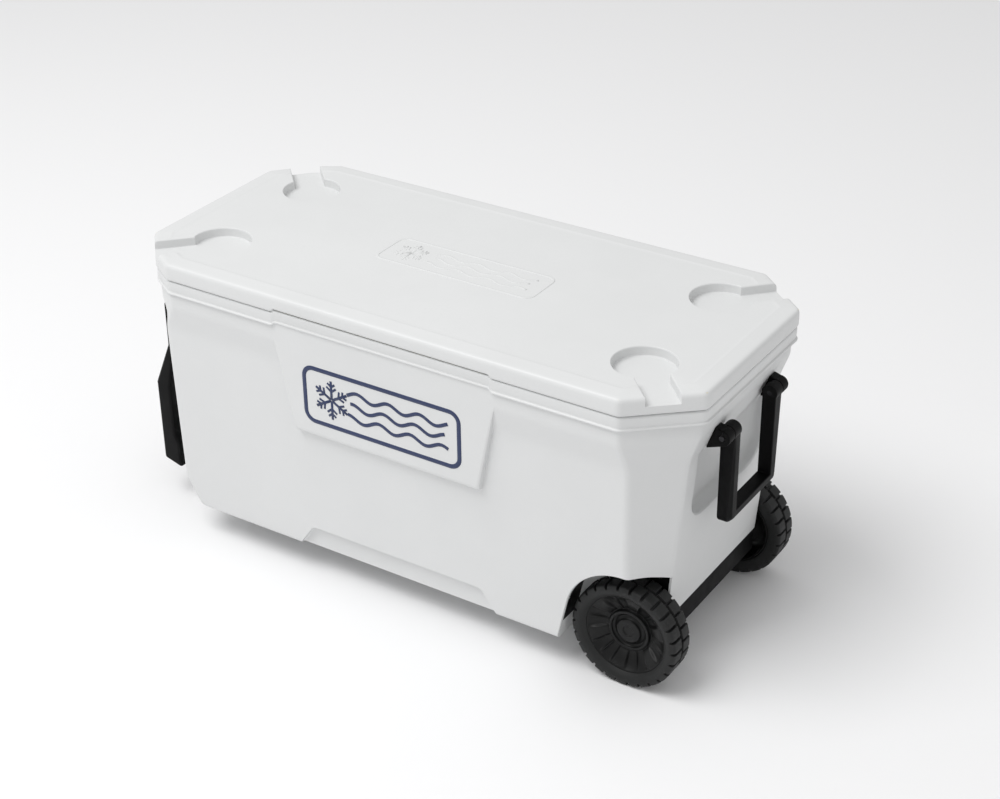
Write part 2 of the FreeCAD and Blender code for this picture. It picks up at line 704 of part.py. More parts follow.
LEAF_Y = ("lid_half_y", "lid_half_y + leaf_thick")
THIRD = "(2 * hinge_half / 3)"
SCREW_LEVELS = {"tub": "seam_z - 12", "lid": "seam_z + 14"}
hinge_screws = {"tub": [], "lid": []}
hinge_pins = []
for index, place_name in enumerate(("left", "middle", "right")):
    centre = "hinge_spacing * %d" % (index - 1)
    start = "%s - hinge_half" % centre
    axis_point = (start, "hinge_y", "seam_z")
    outer_round = rod("knuckle_outer_%d" % index, "X", axis_point, "knuckle_radius", "2 * hinge_half")
    middle_point = ("%s + %s" % (start, THIRD), "hinge_y", "seam_z")
    middle_gap = block(
        "knuckle_gap_%d" % index,
        ("%s + %s - 0.2" % (start, THIRD), "%s + 2 * %s + 0.2" % (start, THIRD)),
        ("hinge_y - 6", "hinge_y + 6"),
        ("seam_z - 6", "seam_z + 6"),
    )
    leaf_x = (start, "%s + hinge_half" % centre)
    lower_leaf = block("leaf_lower_%d" % index, leaf_x, LEAF_Y, ("seam_z - 19", "seam_z"))
    pin_hole = rod("hinge_pin_hole_%d" % index, "X", axis_point, "hinge_pin_radius", "2 * hinge_half")
    screw_holes = {"tub": [], "lid": []}
    for body_name, level in SCREW_LEVELS.items():
        for sign in (-1, 1):
            screw_x = "%s + (%d) * screw_offset" % (centre, sign)
            tag = "%s_%d_%d" % (body_name, index, sign + 1)
            hole_start = (screw_x, "lid_half_y - 1", level)
            hole = rod("screw_hole_" + tag, "Y", hole_start, "screw_radius + 0.3", "leaf_thick + 2")
            head_start = (screw_x, "lid_half_y + leaf_thick", level)
            head = rod("screw_head_" + tag, "Y", head_start, "screw_head_radius", "2")
            shank_start = (screw_x, "lid_half_y - screw_bite", level)
            shank = rod("screw_shank_" + tag, "Y", shank_start, "screw_radius", "screw_bite + leaf_thick")
            screw_holes[body_name].append(hole)
            hinge_screws[body_name].append(fuse("screw_" + tag, head, shank))
    lower_solid = fuse("lower_%d" % index, lower_leaf, outer_round)
    lower = cut("hinge_lower_%d" % index, lower_solid, middle_gap, pin_hole, *screw_holes["tub"])
    node("hinge_lower_" + place_name, lower)
    middle_round = rod("knuckle_middle_%d" % index, "X", middle_point, "knuckle_radius", THIRD)
    web = block(
        "leaf_web_%d" % index,
        ("%s + %s" % (start, THIRD), "%s + 2 * %s" % (start, THIRD)),
        LEAF_Y,
        ("seam_z", "seam_z + 7"),
    )
    upper_leaf = block("leaf_upper_%d" % index, leaf_x, LEAF_Y, ("seam_z + 6", "seam_z + 22"))
    bore_radius = "hinge_pin_radius + running_gap"
    upper_bore = rod("upper_bore_%d" % index, "X", axis_point, bore_radius, "2 * hinge_half")
    upper_solid = fuse("upper_%d" % index, upper_leaf, web, middle_round)
    upper = cut("hinge_upper_%d" % index, upper_solid, upper_bore, *screw_holes["lid"])
    node("hinge_upper_" + place_name, upper)
    hinge_pins.append(rod("hinge_pin_%d" % index, "X", axis_point, "hinge_pin_radius", "2 * hinge_half"))
node("hinge_pins", group("hinge_pins", *hinge_pins))
node("hinge_screws_tub", group("hinge_screws_tub", *hinge_screws["tub"]))
node("hinge_screws_lid", group("hinge_screws_lid", *hinge_screws["lid"]))

# ---------------------------------------------------------------- drain and badge

DRAIN_PROFILES = {
    "drain_spout": [
        ("spout_bore", "-46"),
        ("spout_radius", "-46"),
        ("spout_radius", "2.2"),
        ("16", "2.2"),
        ("16", "5.2"),
        ("spout_radius", "5.2"),
        ("spout_radius", "16"),
        ("spout_bore", "16"),
    ],
    "drain_washer": [
        ("spout_radius + 0.1", "0.6"),
        ("15", "0.6"),
        ("15", "2.1"),
        ("spout_radius + 0.1", "2.1"),
    ],
    "drain_nut": [
        ("spout_radius", "-46"),
        ("14", "-46"),
        ("14", "-42.5"),
        ("spout_radius", "-42.5"),
    ],
    "drain_cap": [
        ("0", "16.3"),
        ("spout_radius + running_gap", "16.3"),
        ("spout_radius + running_gap", "6"),
        ("13", "6"),
        ("13", "17.5"),
        ("12", "18.8"),
        ("0", "18.8"),
    ],
}
for label, profile in DRAIN_PROFILES.items():
    node(label, turned(label, profile, "drain_x + tub_mid_x", "drain_wall_y", "drain_z"), shift=False)

badge = block(
    "badge_plate",
    ("-badge_half_x", "badge_half_x"),
    ("-(band_y + badge_thick)", "-band_y"),
    ("badge_low_z", "badge_high_z"),
)
node("badge", badge, shift=False)
bind(badge, Placement__Base__x="tub_mid_x - badge_half_x - 3")

# ---------------------------------------------------------------- checks and files

doc.recompute()
faults = []
for thing in doc.Objects:
    if "Invalid" in thing.State or "Error" in thing.State:
        faults.append("%s: %s" % (thing.Name, thing.State))
for thing in NODES:
    shape = thing.Shape
    if shape.isNull() or not shape.isValid() or not shape.Solids:
        faults.append("%s has no valid solid" % thing.Label)
if faults:
    raise SystemExit("\n".join(faults))

os.makedirs("parts", exist_ok=True)
for thing in NODES:
    thing.Shape.exportStep(os.path.join("parts", thing.Label + ".step"))
    solids = thing.Shape.Solids
    print("%-24s solids %d, volume %.0f" % (thing.Label, len(solids), sum(solid.Volume for solid in solids)))
print("nodes", len(NODES))
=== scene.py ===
import json
import math

import bmesh
import bpy
from mathutils import Matrix, Vector


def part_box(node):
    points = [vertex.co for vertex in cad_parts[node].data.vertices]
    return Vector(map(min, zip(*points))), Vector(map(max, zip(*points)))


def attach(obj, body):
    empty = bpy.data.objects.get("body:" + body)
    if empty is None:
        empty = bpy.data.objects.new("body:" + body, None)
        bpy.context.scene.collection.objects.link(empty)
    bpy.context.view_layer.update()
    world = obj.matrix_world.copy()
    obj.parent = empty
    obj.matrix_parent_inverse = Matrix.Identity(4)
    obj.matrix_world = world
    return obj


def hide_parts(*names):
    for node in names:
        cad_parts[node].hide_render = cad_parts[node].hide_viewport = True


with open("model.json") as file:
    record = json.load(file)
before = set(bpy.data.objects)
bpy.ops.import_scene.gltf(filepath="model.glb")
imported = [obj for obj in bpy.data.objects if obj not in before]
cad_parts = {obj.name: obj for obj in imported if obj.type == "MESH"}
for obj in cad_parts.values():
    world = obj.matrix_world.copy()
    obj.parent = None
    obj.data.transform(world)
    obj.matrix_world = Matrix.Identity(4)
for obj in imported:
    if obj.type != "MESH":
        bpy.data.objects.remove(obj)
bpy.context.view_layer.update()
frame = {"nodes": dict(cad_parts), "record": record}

# Lengths below are in millimetres from the tub's middle, the floor and the cooler's centre line.
MM = 0.001
TUB_MIDDLE = 11.5
BODY_OF = {node: body for body, nodes in frame["record"]["behaviour"]["bodies"].items() for node in nodes}
SLOT_OF = {part["node"]: part["material_slot"] for part in frame["record"]["subparts"]}


def at(x, y, z):
    """A point of the row frame, in metres."""
    return Vector(((x + TUB_MIDDLE) * MM, y * MM, z * MM))


def smooth_step(value, low, high):
    t = min(max((value - low) / (high - low), 0.0), 1.0)
    return t * t * (3.0 - 2.0 * t)


# ---------------------------------------------------------------- materials


class Nodes:
    """Short names for building a material's nodes."""

    def __init__(self, name):
        self.material = bpy.data.materials.new(name)
        self.material.use_nodes = True
        self.tree = self.material.node_tree
        self.shader = self.tree.nodes["Principled BSDF"]
        self.place = self.add("ShaderNodeTexCoord").outputs["Object"]

    def add(self, kind, **settings):
        node = self.tree.nodes.new(kind)
        for key, value in settings.items():
            setattr(node, key, value)
        return node

    def join(self, output, target):
        self.tree.links.new(output, target)

    def noise(self, scale, detail=3.0, rough=0.5):
        node = self.add("ShaderNodeTexNoise")
        self.join(self.place, node.inputs["Vector"])
        node.inputs["Scale"].default_value = scale
        node.inputs["Detail"].default_value = detail
        node.inputs["Roughness"].default_value = rough
        return node.outputs["Fac"]

    def spread(self, value, low, high, to_low, to_high):
        node = self.add("ShaderNodeMapRange")
        self.join(value, node.inputs["Value"])
        for key, number in (("From Min", low), ("From Max", high), ("To Min", to_low), ("To Max", to_high)):
            node.inputs[key].default_value = number
        return node.outputs["Result"]

    def multiply(self, first, second):
        node = self.add("ShaderNodeMath", operation="MULTIPLY")
        self.join(first, node.inputs[0])
        self.join(second, node.inputs[1])
        return node.outputs["Value"]

    def mix(self, factor, first, second):
        node = self.add("ShaderNodeMix", data_type="RGBA")
        self.join(factor, node.inputs["Factor"])
        for socket, colour in ((node.inputs[6], first), (node.inputs[7], second)):
            if isinstance(colour, tuple):
                socket.default_value = (*colour, 1.0)
            else:
                self.join(colour, socket)
        return node.outputs[2]

    def bump(self, height, strength, distance, under=None):
        node = self.add("ShaderNodeBump")
        node.inputs["Strength"].default_value = strength
        node.inputs["Distance"].default_value = distance
        self.join(height, node.inputs["Height"])
        if under is not None:
            self.join(under, node.inputs["Normal"])
        return node.outputs["Normal"]


def tinted(colour, factor):
    return tuple(min(channel * factor, 1.0) for channel in colour)


def moulded(name, colour, rough, drift=0.03, grain=1400.0, depth=0.00006, wear=0.0, worn=None, specular=0.5):
    """Moulded plastic: a slow drift of colour and gloss, fine grain, and edges rubbed to another shade."""
    nodes = Nodes(name)
    slow = nodes.spread(nodes.noise(7.0, 4.0, 0.55), 0.35, 0.65, 0.0, 1.0)
    shade = nodes.mix(slow, tinted(colour, 1.0 - drift), tinted(colour, 1.0 + drift))
    speck = nodes.spread(nodes.noise(260.0, 2.0), 0.60, 0.72, 0.0, 0.5)
    shade = nodes.mix(nodes.multiply(speck, slow), shade, tinted(colour, 1.0 - 2.5 * drift))
    if wear:
        edge = nodes.spread(nodes.add("ShaderNodeNewGeometry").outputs["Pointiness"], 0.515, 0.60, 0.0, wear)
        rubbed = nodes.spread(nodes.noise(55.0, 4.0), 0.38, 0.62, 0.2, 1.0)
        shade = nodes.mix(nodes.multiply(edge, rubbed), shade, worn or tinted(colour, 2.0))
    nodes.join(shade, nodes.shader.inputs["Base Color"])
    gloss = nodes.spread(nodes.noise(38.0, 4.0), 0.3, 0.7, rough - 0.05, rough + 0.06)
    nodes.join(gloss, nodes.shader.inputs["Roughness"])
    ripple = nodes.bump(nodes.noise(9.0, 2.0), 0.10, 0.0006)
    nodes.join(nodes.bump(nodes.noise(grain, 2.0), 0.5, depth, ripple), nodes.shader.inputs["Normal"])
    nodes.shader.inputs["Specular IOR Level"].default_value = specular
    return nodes.material


def plated(name, colour, rough):
    """Zinc-plated steel with fine drawn lines and dull patches."""
    nodes = Nodes(name)
    patch = nodes.spread(nodes.noise(90.0, 5.0), 0.35, 0.65, 0.0, 1.0)
    shade = nodes.mix(patch, tinted(colour, 0.86), tinted(colour, 1.06))
    nodes.join(shade, nodes.shader.inputs["Base Color"])
    nodes.join(nodes.spread(patch, 0.0, 1.0, rough + 0.12, rough), nodes.shader.inputs["Roughness"])
    nodes.join(nodes.bump(nodes.noise(2600.0, 1.0), 0.4, 0.00004), nodes.shader.inputs["Normal"])
    nodes.shader.inputs["Metallic"].default_value = 1.0
    return nodes.material


def foamed(name, colour):
    """Cut rigid foam with open cells, their pits painted darker as painted shade."""
    nodes = Nodes(name)
    cells = nodes.add("ShaderNodeTexVoronoi")
    nodes.join(nodes.place, cells.inputs["Vector"])
    cells.inputs["Scale"].default_value = 700.0
    depth = nodes.spread(cells.outputs["Distance"], 0.0, 0.6, 0.0, 1.0)
    # Painted shade: the colour darkens towards each cell's pit, standing in for shade in the hollows; the
    # bump below gives the real relief.
    shade = nodes.mix(depth, tinted(colour, 0.72), tinted(colour, 1.05))
    nodes.join(shade, nodes.shader.inputs["Base Color"])
    nodes.join(nodes.spread(depth, 0.0, 1.0, 0.95, 0.8), nodes.shader.inputs["Roughness"])
    nodes.join(nodes.bump(depth, 0.6, 0.0005), nodes.shader.inputs["Normal"])
    return nodes.material


SHELL_WHITE = (0.715, 0.722, 0.722)
GREY = (0.045, 0.046, 0.047)
BLACK = (0.0024, 0.0024, 0.0026)
DULL_BLACK = (0.016, 0.016, 0.017)
TREAD_BLACK = (0.0135, 0.0140, 0.0140)
FACE_BLACK = (0.0038, 0.0040, 0.0040)
MATERIALS = {
    "shell_white": moulded("shell_white_plastic", SHELL_WHITE, 0.42, 0.012, 900.0, 0.00005),
    "liner_white": moulded("liner_white_plastic", (0.73, 0.74, 0.74), 0.32, 0.012, 700.0, 0.00003),
    "hinge_white": moulded("hinge_white_plastic", (0.69, 0.70, 0.70), 0.45, 0.02, 1200.0, 0.00006),
    "black_plastic": moulded(
        "black_plastic_grain", BLACK, 0.50, 0.12, 1500.0, 0.00009, wear=0.4, worn=DULL_BLACK, specular=0.09
    ),
    "handle_black": moulded(
        "handle_black_plastic", BLACK, 0.44, 0.12, 1300.0, 0.00008, wear=0.6, worn=DULL_BLACK, specular=0.10
    ),
    "wheel_tread": moulded(
        "wheel_tread_plastic", TREAD_BLACK, 0.52, 0.12, 1100.0, 0.00012, wear=0.5, worn=GREY, specular=0.28
    ),
    "wheel_hub": moulded(
        "wheel_face_plastic", FACE_BLACK, 0.36, 0.10, 1100.0, 0.00008,
        wear=0.4, worn=DULL_BLACK, specular=0.26,
    ),
    "rubber_black": moulded(
        "rubber_black_dull", (0.010, 0.010, 0.010), 0.75, 0.15, 1500.0, 0.00015, specular=0.3
    ),
    "badge_blue": moulded("print_navy", (0.018, 0.032, 0.098), 0.40, 0.06, 900.0, 0.00003),
    "steel": plated("zinc_plated_steel", (0.62, 0.63, 0.65), 0.28),
    "foam": foamed("rigid_foam", (0.85, 0.78, 0.52)),
}


# ---------------------------------------------------------------- pieces

WELD_REACH = 2e-5
FLAT_ANGLE, BEND_ANGLE, SHARP_ANGLE, CREASE_ANGLE = 0.6, 20.0, 28.0, 33.0
SKIN = 2.4


def piece(name, bm, slot, body, nodes=(), modifiers=(), facing=None):
    """Turn a bmesh into an object that rides on a body and stands for CAD nodes.

    Its faces are turned towards the point facing, where one is given.
    """
    bmesh.ops.recalc_face_normals(bm, faces=bm.faces[:])
    if facing is not None:
        bm.normal_update()
        away = [face for face in bm.faces if face.normal.dot(facing - face.calc_center_median()) < 0.0]
        bmesh.ops.reverse_faces(bm, faces=away)
    mesh = bpy.data.meshes.new(name)
    for face in bm.faces:
        face.smooth = True
    bm.to_mesh(mesh)
    bm.free()
    thing = bpy.data.objects.new(name, mesh)
    bpy.context.scene.collection.objects.link(thing)
    mesh.materials.append(MATERIALS[slot])
    for kind, settings in modifiers:
        modifier = thing.modifiers.new(kind.title(), kind)
        for key, value in settings.items():
            setattr(modifier, key, value)
    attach(thing, body)
    if nodes:
        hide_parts(*nodes)
    return thing


def flat_faces():
    """Flat faces stay flat and only the rounded edges between them turn the light."""
    return ("WEIGHTED_NORMAL", {"mode": "FACE_AREA", "weight": 50, "keep_sharp": True})


def welded(node):
    """A node's mesh with its seams closed and its flat faces whole."""
    source = frame["nodes"][node]
    bm = bmesh.new()
    bm.from_mesh(source.data)
    bm.transform(source.matrix_world)
    bmesh.ops.remove_doubles(bm, verts=bm.verts[:], dist=WELD_REACH)
    bmesh.ops.dissolve_limit(bm, angle_limit=math.radians(FLAT_ANGLE), verts=bm.verts[:], edges=bm.edges[:])
    return bm


def rounded(name, node, widths, segments=3, prepare=None):
    """A CAD node with its edges rounded. widths gives each edge's rounding in millimetres."""
    bm = welded(node)
    if prepare:
        prepare(bm)
    layer = bm.edges.layers.float.new("bevel_weight_edge")
    found = {}
    for edge in bm.edges:
        if len(edge.link_faces) != 2:
            continue
        angle = math.degrees(edge.calc_face_angle(0.0))
        low, high = (vertex.co / MM for vertex in edge.verts)
        middle = (low + high) / 2.0
        middle.x -= TUB_MIDDLE
        along = (high - low).normalized()
        outward = (edge.link_faces[0].normal + edge.link_faces[1].normal).normalized()
        if callable(widths):
            width = widths(middle, along, angle, outward)
        else:
            width = widths if angle > SHARP_ANGLE else 0.0
        if width:
            found[edge] = width
    widest = max(found.values())
    for edge, width in found.items():
        edge[layer] = width / widest
    bevel = {"limit_method": "WEIGHT", "width": widest * MM, "segments": segments}
    bevel.update({"use_clamp_overlap": False, "harden_normals": False})
    modifiers = [("BEVEL", bevel), flat_faces()]
    return piece(name, bm, SLOT_OF[node], BODY_OF[node], [node], modifiers)


def bevel_some(bm, chosen, width, segments):
    """Round the edges that the test picks, at once."""
    edges = []
    for edge in bm.edges:
        middle = (edge.verts[0].co + edge.verts[1].co) / (2.0 * MM)
        middle.x -= TUB_MIDDLE
        along = (edge.verts[1].co - edge.verts[0].co).normalized()
        if len(edge.link_faces) == 2 and chosen(middle, along):
            edges.append(edge)
    bmesh.ops.bevel(bm, geom=edges, offset=width * MM, segments=segments, profile=0.5, affect="EDGES")


# ---------------------------------------------------------------- outlines and skins


def turn_corners(corners, radii, arc=5, extra=None):
    """Points around a convex outline with its corners rounded. extra holds points added after a corner."""
    points = []
    count = len(corners)
    for index, here in enumerate(corners):
        here = Vector(here)
        before = (Vector(corners[index - 1]) - here).normalized()
        after = (Vector(corners[(index + 1) % count]) - here).normalized()
        half = before.angle(after) / 2.0
        turn = math.pi - 2.0 * half
        if turn < math.radians(2.0):
            points += [tuple(here + (before * (arc - step) + after * step) * 0.4) for step in range(arc + 1)]
            continue
        middle = here + (before + after).normalized() * radii[index] / math.sin(half)
        start = here + before * radii[index] / math.tan(half)
        for step in range(arc + 1):
            spoke = start - middle
            spoke.rotate(Matrix.Rotation(turn * step / arc, 2))
            points.append(tuple(middle + spoke))
        if extra and index in extra:
            points += extra[index]
    return points


def ring_rows(bm, rows):
    """Join outlines of equal length into a skin and return the vertices of each row."""
    made = [[bm.verts.new(at(*point)) for point in row] for row in rows]
    for lower, upper in zip(made, made[1:]):
        count = len(lower)
        for index in range(count):
            after = (index + 1) % count
            bm.faces.new((lower[index], lower[after], upper[after], upper[index]))
    return made


def closed_form(rows):
    """A closed form from outlines of equal length, used to cut hollows."""
    bm = bmesh.new()
    made = ring_rows(bm, rows)
    bm.faces.new(made[0][::-1])
    bm.faces.new(made[-1])
    return bm


def carve(thing, cutters, drop=None):
    """Cut closed forms out of a piece, make the result its mesh and drop the faces that the test picks."""
    helpers = []
    for index, form in enumerate(cutters):
        bmesh.ops.recalc_face_normals(form, faces=form.faces[:])
        mesh = bpy.data.meshes.new("cutter")
        form.to_mesh(mesh)
        form.free()
        helper = bpy.data.objects.new("cutter", mesh)
        bpy.context.scene.collection.objects.link(helper)
        helpers.append(helper)
        modifier = thing.modifiers.new("Cut%d" % index, "BOOLEAN")
        modifier.object = helper
        modifier.solver = "EXACT"
    bpy.context.view_layer.update()
    result = bpy.data.meshes.new_from_object(thing.evaluated_get(bpy.context.evaluated_depsgraph_get()))
    thing.modifiers.clear()
    bm = bmesh.new()
    bm.from_mesh(result)
    if drop:
        bmesh.ops.delete(bm, geom=[face for face in bm.faces if drop(face)], context="FACES")
    for face in bm.faces:
        face.smooth = True
        face.material_index = 0
    for edge in bm.edges:
        edge.smooth = len(edge.link_faces) != 2 or edge.calc_face_angle(0.0) < math.radians(CREASE_ANGLE)
    bm.to_mesh(thing.data)
    bm.free()
    bpy.data.meshes.remove(result)
    for helper in helpers:
        mesh = helper.data
        bpy.data.objects.remove(helper)
        bpy.data.meshes.remove(mesh)


def thicken(thing, thickness):
    """Give an open skin its wall, inwards."""
    shell = thing.modifiers.new("Wall", "SOLIDIFY")
    shell.thickness = thickness * MM
    shell.offset = -1.0
    kind, settings = flat_faces()
    normals = thing.modifiers.new("Normals", kind)
    for key, value in settings.items():
        setattr(normals, key, value)


# ---------------------------------------------------------------- tub

BASE_Z, HEEL_Z, WALL_Z, BAND_Z, SHELL_TOP_Z = 47.5, 88.0, 365.0, 405.0, 446.5
SIDE_Y, BAND_Y = 139.0, 213.0
LEVELS = (BASE_Z, HEEL_Z, WALL_Z, BAND_Z, SHELL_TOP_Z)
TOW_END = (-388.0, -422.5, -447.5, -462.0, -462.0)
WHEEL_END = (419.0, 422.5, 447.5, 462.0, 462.0)
WALL_Y = (198.0, 199.0, 205.0, BAND_Y, BAND_Y)
TOW_CORNER = (-378.0, -403.0, -403.0, -381.0, -381.0)
WHEEL_CORNER = (391.0, 391.0, 391.0, 381.0, 381.0)
TOW_SWELL = (0.5, 0.5, 1.0, 8.0, 8.0)
CORNER_SHARE = 0.42  # where the tow end's two outline corners break, as a share of the cut
CUT_LOW_Z = 30.0  # the low end of every hollow that is open at the bottom
SOFT_HEEL, SOFT_HEEL_TOW, SOFT_WALL, SOFT_BAND = 5.0, 30.0, 11.0, 6.0


def profile(values, z, soft_heel=SOFT_HEEL):
    """A wall's distance at a height: straight between the levels, with a soft bend at each of them."""
    slopes = [(b - a) / (high - low) for a, b, low, high in zip(values, values[1:], LEVELS, LEVELS[1:])]
    span = max(index for index in range(len(slopes)) if z >= LEVELS[index] or index == 0)
    value = values[span] + slopes[span] * (z - LEVELS[span])
    for index, soft in enumerate((soft_heel, SOFT_WALL, SOFT_BAND)):
        near = max(0.0, soft - abs(z - LEVELS[index + 1]))
        value += (slopes[index + 1] - slopes[index]) * near * near / (4.0 * soft)
    return value


PANEL_LOW_Z, PANEL_LOW_X, PANEL_TOP_X = 262.0, 160.0, 189.0
PANEL_EDGE = ((3.5, 0.0), (0.8, 0.02), (0.15, 0.2), (0.0, 0.6), (-0.7, 0.85), (-2.3, 0.97), (-4.6, 1.0))
PANEL_FOOT = ((-3.0, 0.0), (-0.6, 0.03), (0.0, 0.35), (0.8, 0.62), (2.4, 0.82), (5.0, 0.94), (9.0, 1.0))
PLAIN_STOPS = (365.0, 330.0, 300.0, 260.0, 225.0, 200.0)
PANEL_STOPS = (140.0, 100.0, 50.0, 0.0)


def side_points(z, sign):
    """The long side's points at one height, with the raised panel in the middle."""
    wall = profile(WALL_Y, z)
    foot = 0.0
    for (low, share), (high, after) in zip(PANEL_FOOT, PANEL_FOOT[1:]):
        if PANEL_LOW_Z + low <= z < PANEL_LOW_Z + high:
            foot = share + (after - share) * (z - PANEL_LOW_Z - low) / (high - low)
    if z >= PANEL_LOW_Z + PANEL_FOOT[-1][0]:
        foot = 1.0
    rise = min(max((z - PANEL_LOW_Z) / (BAND_Z - PANEL_LOW_Z), 0.0), 1.0)
    edge = PANEL_LOW_X + (PANEL_TOP_X - PANEL_LOW_X) * rise
    right = [(x, 0.0) for x in PLAIN_STOPS]
    right += [(edge + out, share) for out, share in PANEL_EDGE]
    right += [(x, 1.0) for x in PANEL_STOPS]
    line = right + [(-x, share) for x, share in reversed(right[:-1])]
    points = [(x, sign * (wall + (BAND_Y - wall) * share * foot)) for x, share in line]
    return points if sign > 0 else points[::-1]


def tub_row(z, inset=0.0, radius=14.0):
    """The tub's outline at one height."""
    tow = profile(TOW_END, z, SOFT_HEEL_TOW) + inset
    wheel = profile(WHEEL_END, z) - inset
    wall = profile(WALL_Y, z) - inset
    left = profile(TOW_CORNER, z, SOFT_HEEL_TOW) + 0.4 * inset
    right = profile(WHEEL_CORNER, z) - 0.4 * inset
    side = SIDE_Y - 0.4 * inset
    full = profile(TOW_SWELL, z)
    reach = math.hypot(left - tow, wall - side)
    mid_x = left + CORNER_SHARE * (tow - left) - full * (wall - side) / reach
    mid_y = wall + CORNER_SHARE * (side - wall) + full * (left - tow) / reach
    corners = [(left, -wall), (right, -wall), (wheel, -side), (wheel, side)]
    corners += [(right, wall), (left, wall), (mid_x, mid_y), (tow, side), (tow, -side), (mid_x, -mid_y)]
    pull = inset / wall
    front = [(x, y * (1.0 - pull)) for x, y in side_points(z, -1)]
    rear = [(x, y * (1.0 - pull)) for x, y in side_points(z, 1)]
    outline = turn_corners(corners, [radius] * 10, 5, {0: front, 4: rear})
    return [(x, y, z) for x, y in outline]


def tub_heights():
    heights = [54.0, 60.0, 66.0, 72.0, 78.0, 83.0, 85.5, 88.0, 90.5, 93.0, 98.0, 104.0, 111.0, 118.0]
    heights += [140.0, 165.0, 190.0, 215.0, 240.0, 254.0]
    heights += [PANEL_LOW_Z + out for out, share in PANEL_FOOT]
    heights += [285.0, 310.0, 335.0] + [WALL_Z - 11.0 + 2.75 * step for step in range(9)]
    heights += [390.0] + [BAND_Z - 6.0 + 2.0 * step for step in range(7)] + [420.0, 435.0, SHELL_TOP_Z]
    return heights


ARCH_X, ARCH_Z, ARCH_RADIUS, ARCH_FOOT = 387.0, 98.0, 92.0, 282.0
ARCH_START, ARCH_END, ARCH_SAG, ARCH_STEPS = 166.0, 57.0, 34.0, 32
LIP = ((-5.0, 0.0), (-1.6, 0.25), (-0.5, 0.8), (0.3, 1.7), (2.2, 4.0), (30.0, 4.0))


def arch_outline(grow):
    """The wheel arch seen from the side, grown all round."""
    reach = ARCH_RADIUS + grow
    points = [(ARCH_FOOT - grow, CUT_LOW_Z), (ARCH_FOOT - grow, 52.5)]
    for step in range(ARCH_STEPS + 1):
        turn = math.radians(ARCH_START - (ARCH_START - ARCH_END) * step / ARCH_STEPS)
        sag = ARCH_SAG * max(math.cos(turn), 0.0) ** 2
        points.append((ARCH_X + reach * math.cos(turn), ARCH_Z + reach * math.sin(turn) - sag))
    run_out_z = points[-1][1]
    points += [(points[-1][0] + 12.0, run_out_z - 3.0), (520.0, run_out_z - 5.0), (520.0, CUT_LOW_Z)]
    return points


def side_cutter(outline, floor_rows, sign):
    """A hollow cut into a long side, with a soft lip where it meets the wall."""
    rows = [[(x, sign * y, z) for x, z in outline(grow)] for y, grow in floor_rows]
    for out, grow in LIP:
        rows.append([(x, sign * (profile(WALL_Y, max(z, BASE_Z)) + out), z) for x, z in outline(grow)])
    return closed_form(rows)


NOTCH_LOW, NOTCH_TOP, NOTCH_TOP_Z, NOTCH_Y, NOTCH_ROUND = 185.0, 150.0, 86.0, 189.0, 14.0


def notch_outline(grow):
    """The hand recess under the middle of a long side."""
    low_x = NOTCH_LOW + grow + (NOTCH_LOW - NOTCH_TOP) * 0.2
    corners = [(-low_x, CUT_LOW_Z), (low_x, CUT_LOW_Z), (NOTCH_TOP + grow, NOTCH_TOP_Z + grow)]
    corners += [(-NOTCH_TOP - grow, NOTCH_TOP_Z + grow)]
    return turn_corners(corners, [0.5, 0.5, NOTCH_ROUND, NOTCH_ROUND], 6)


RECESS_Y, RECESS_LOW_Z, RECESS_ROUND, RECESS_DEPTH = 105.0, 250.0, 34.0, 19.0
RECESS_TOP_Z, LEDGE_SLOPE = 338.0, 1.25


def recess_cutter():
    """The flat hollow behind the wheel-end handle, running out in a slope under the band."""
    rows = []
    levels = [(-RECESS_DEPTH, -9.0), (-RECESS_DEPTH + 0.8, -5.0), (-RECESS_DEPTH + 3.4, -1.8), (-12.0, 0.2)]
    levels += [(-6.0, 1.4)]
    for out, grow in levels + [(-2.0, 2.6), (-0.3, 4.6), (1.2, 7.5), (30.0, 7.5)]:
        middle = (RECESS_Y - RECESS_ROUND, RECESS_LOW_Z + RECESS_ROUND)
        half = []
        for step in range(9):
            turn = math.radians(90.0 * step / 8)
            reach = RECESS_ROUND + grow
            half.append((middle[0] + reach * math.sin(turn), middle[1] - reach * math.cos(turn)))
        top = RECESS_TOP_Z + (out + RECESS_DEPTH) * LEDGE_SLOPE + 0.6 * grow
        half += [(RECESS_Y + grow, z) for z in (300.0, 320.0, top - 4.0)] + [(RECESS_Y + grow - 4.0, top)]
        row = []
        for y, z in half + [(-y, z) for y, z in reversed(half)]:
            row.append((profile(WHEEL_END, min(z, WALL_Z - 12.0)) + out, y, z))
        rows.append(row)
    return closed_form(rows)


STEP_LINE = ((285.0, 95.0), (417.0, 95.0), (421.0, 95.4), (423.0, 96.4), (426.0, 99.5), (500.0, 99.5))


def step_cutter():
    """The raised floor between the wheels."""
    half = SIDE_Y + 0.4
    rows = []
    for x, z in STEP_LINE:
        rows.append([(x, -half, CUT_LOW_Z), (x, half, CUT_LOW_Z), (x, half, z), (x, -half, z)])
    return closed_form(rows)


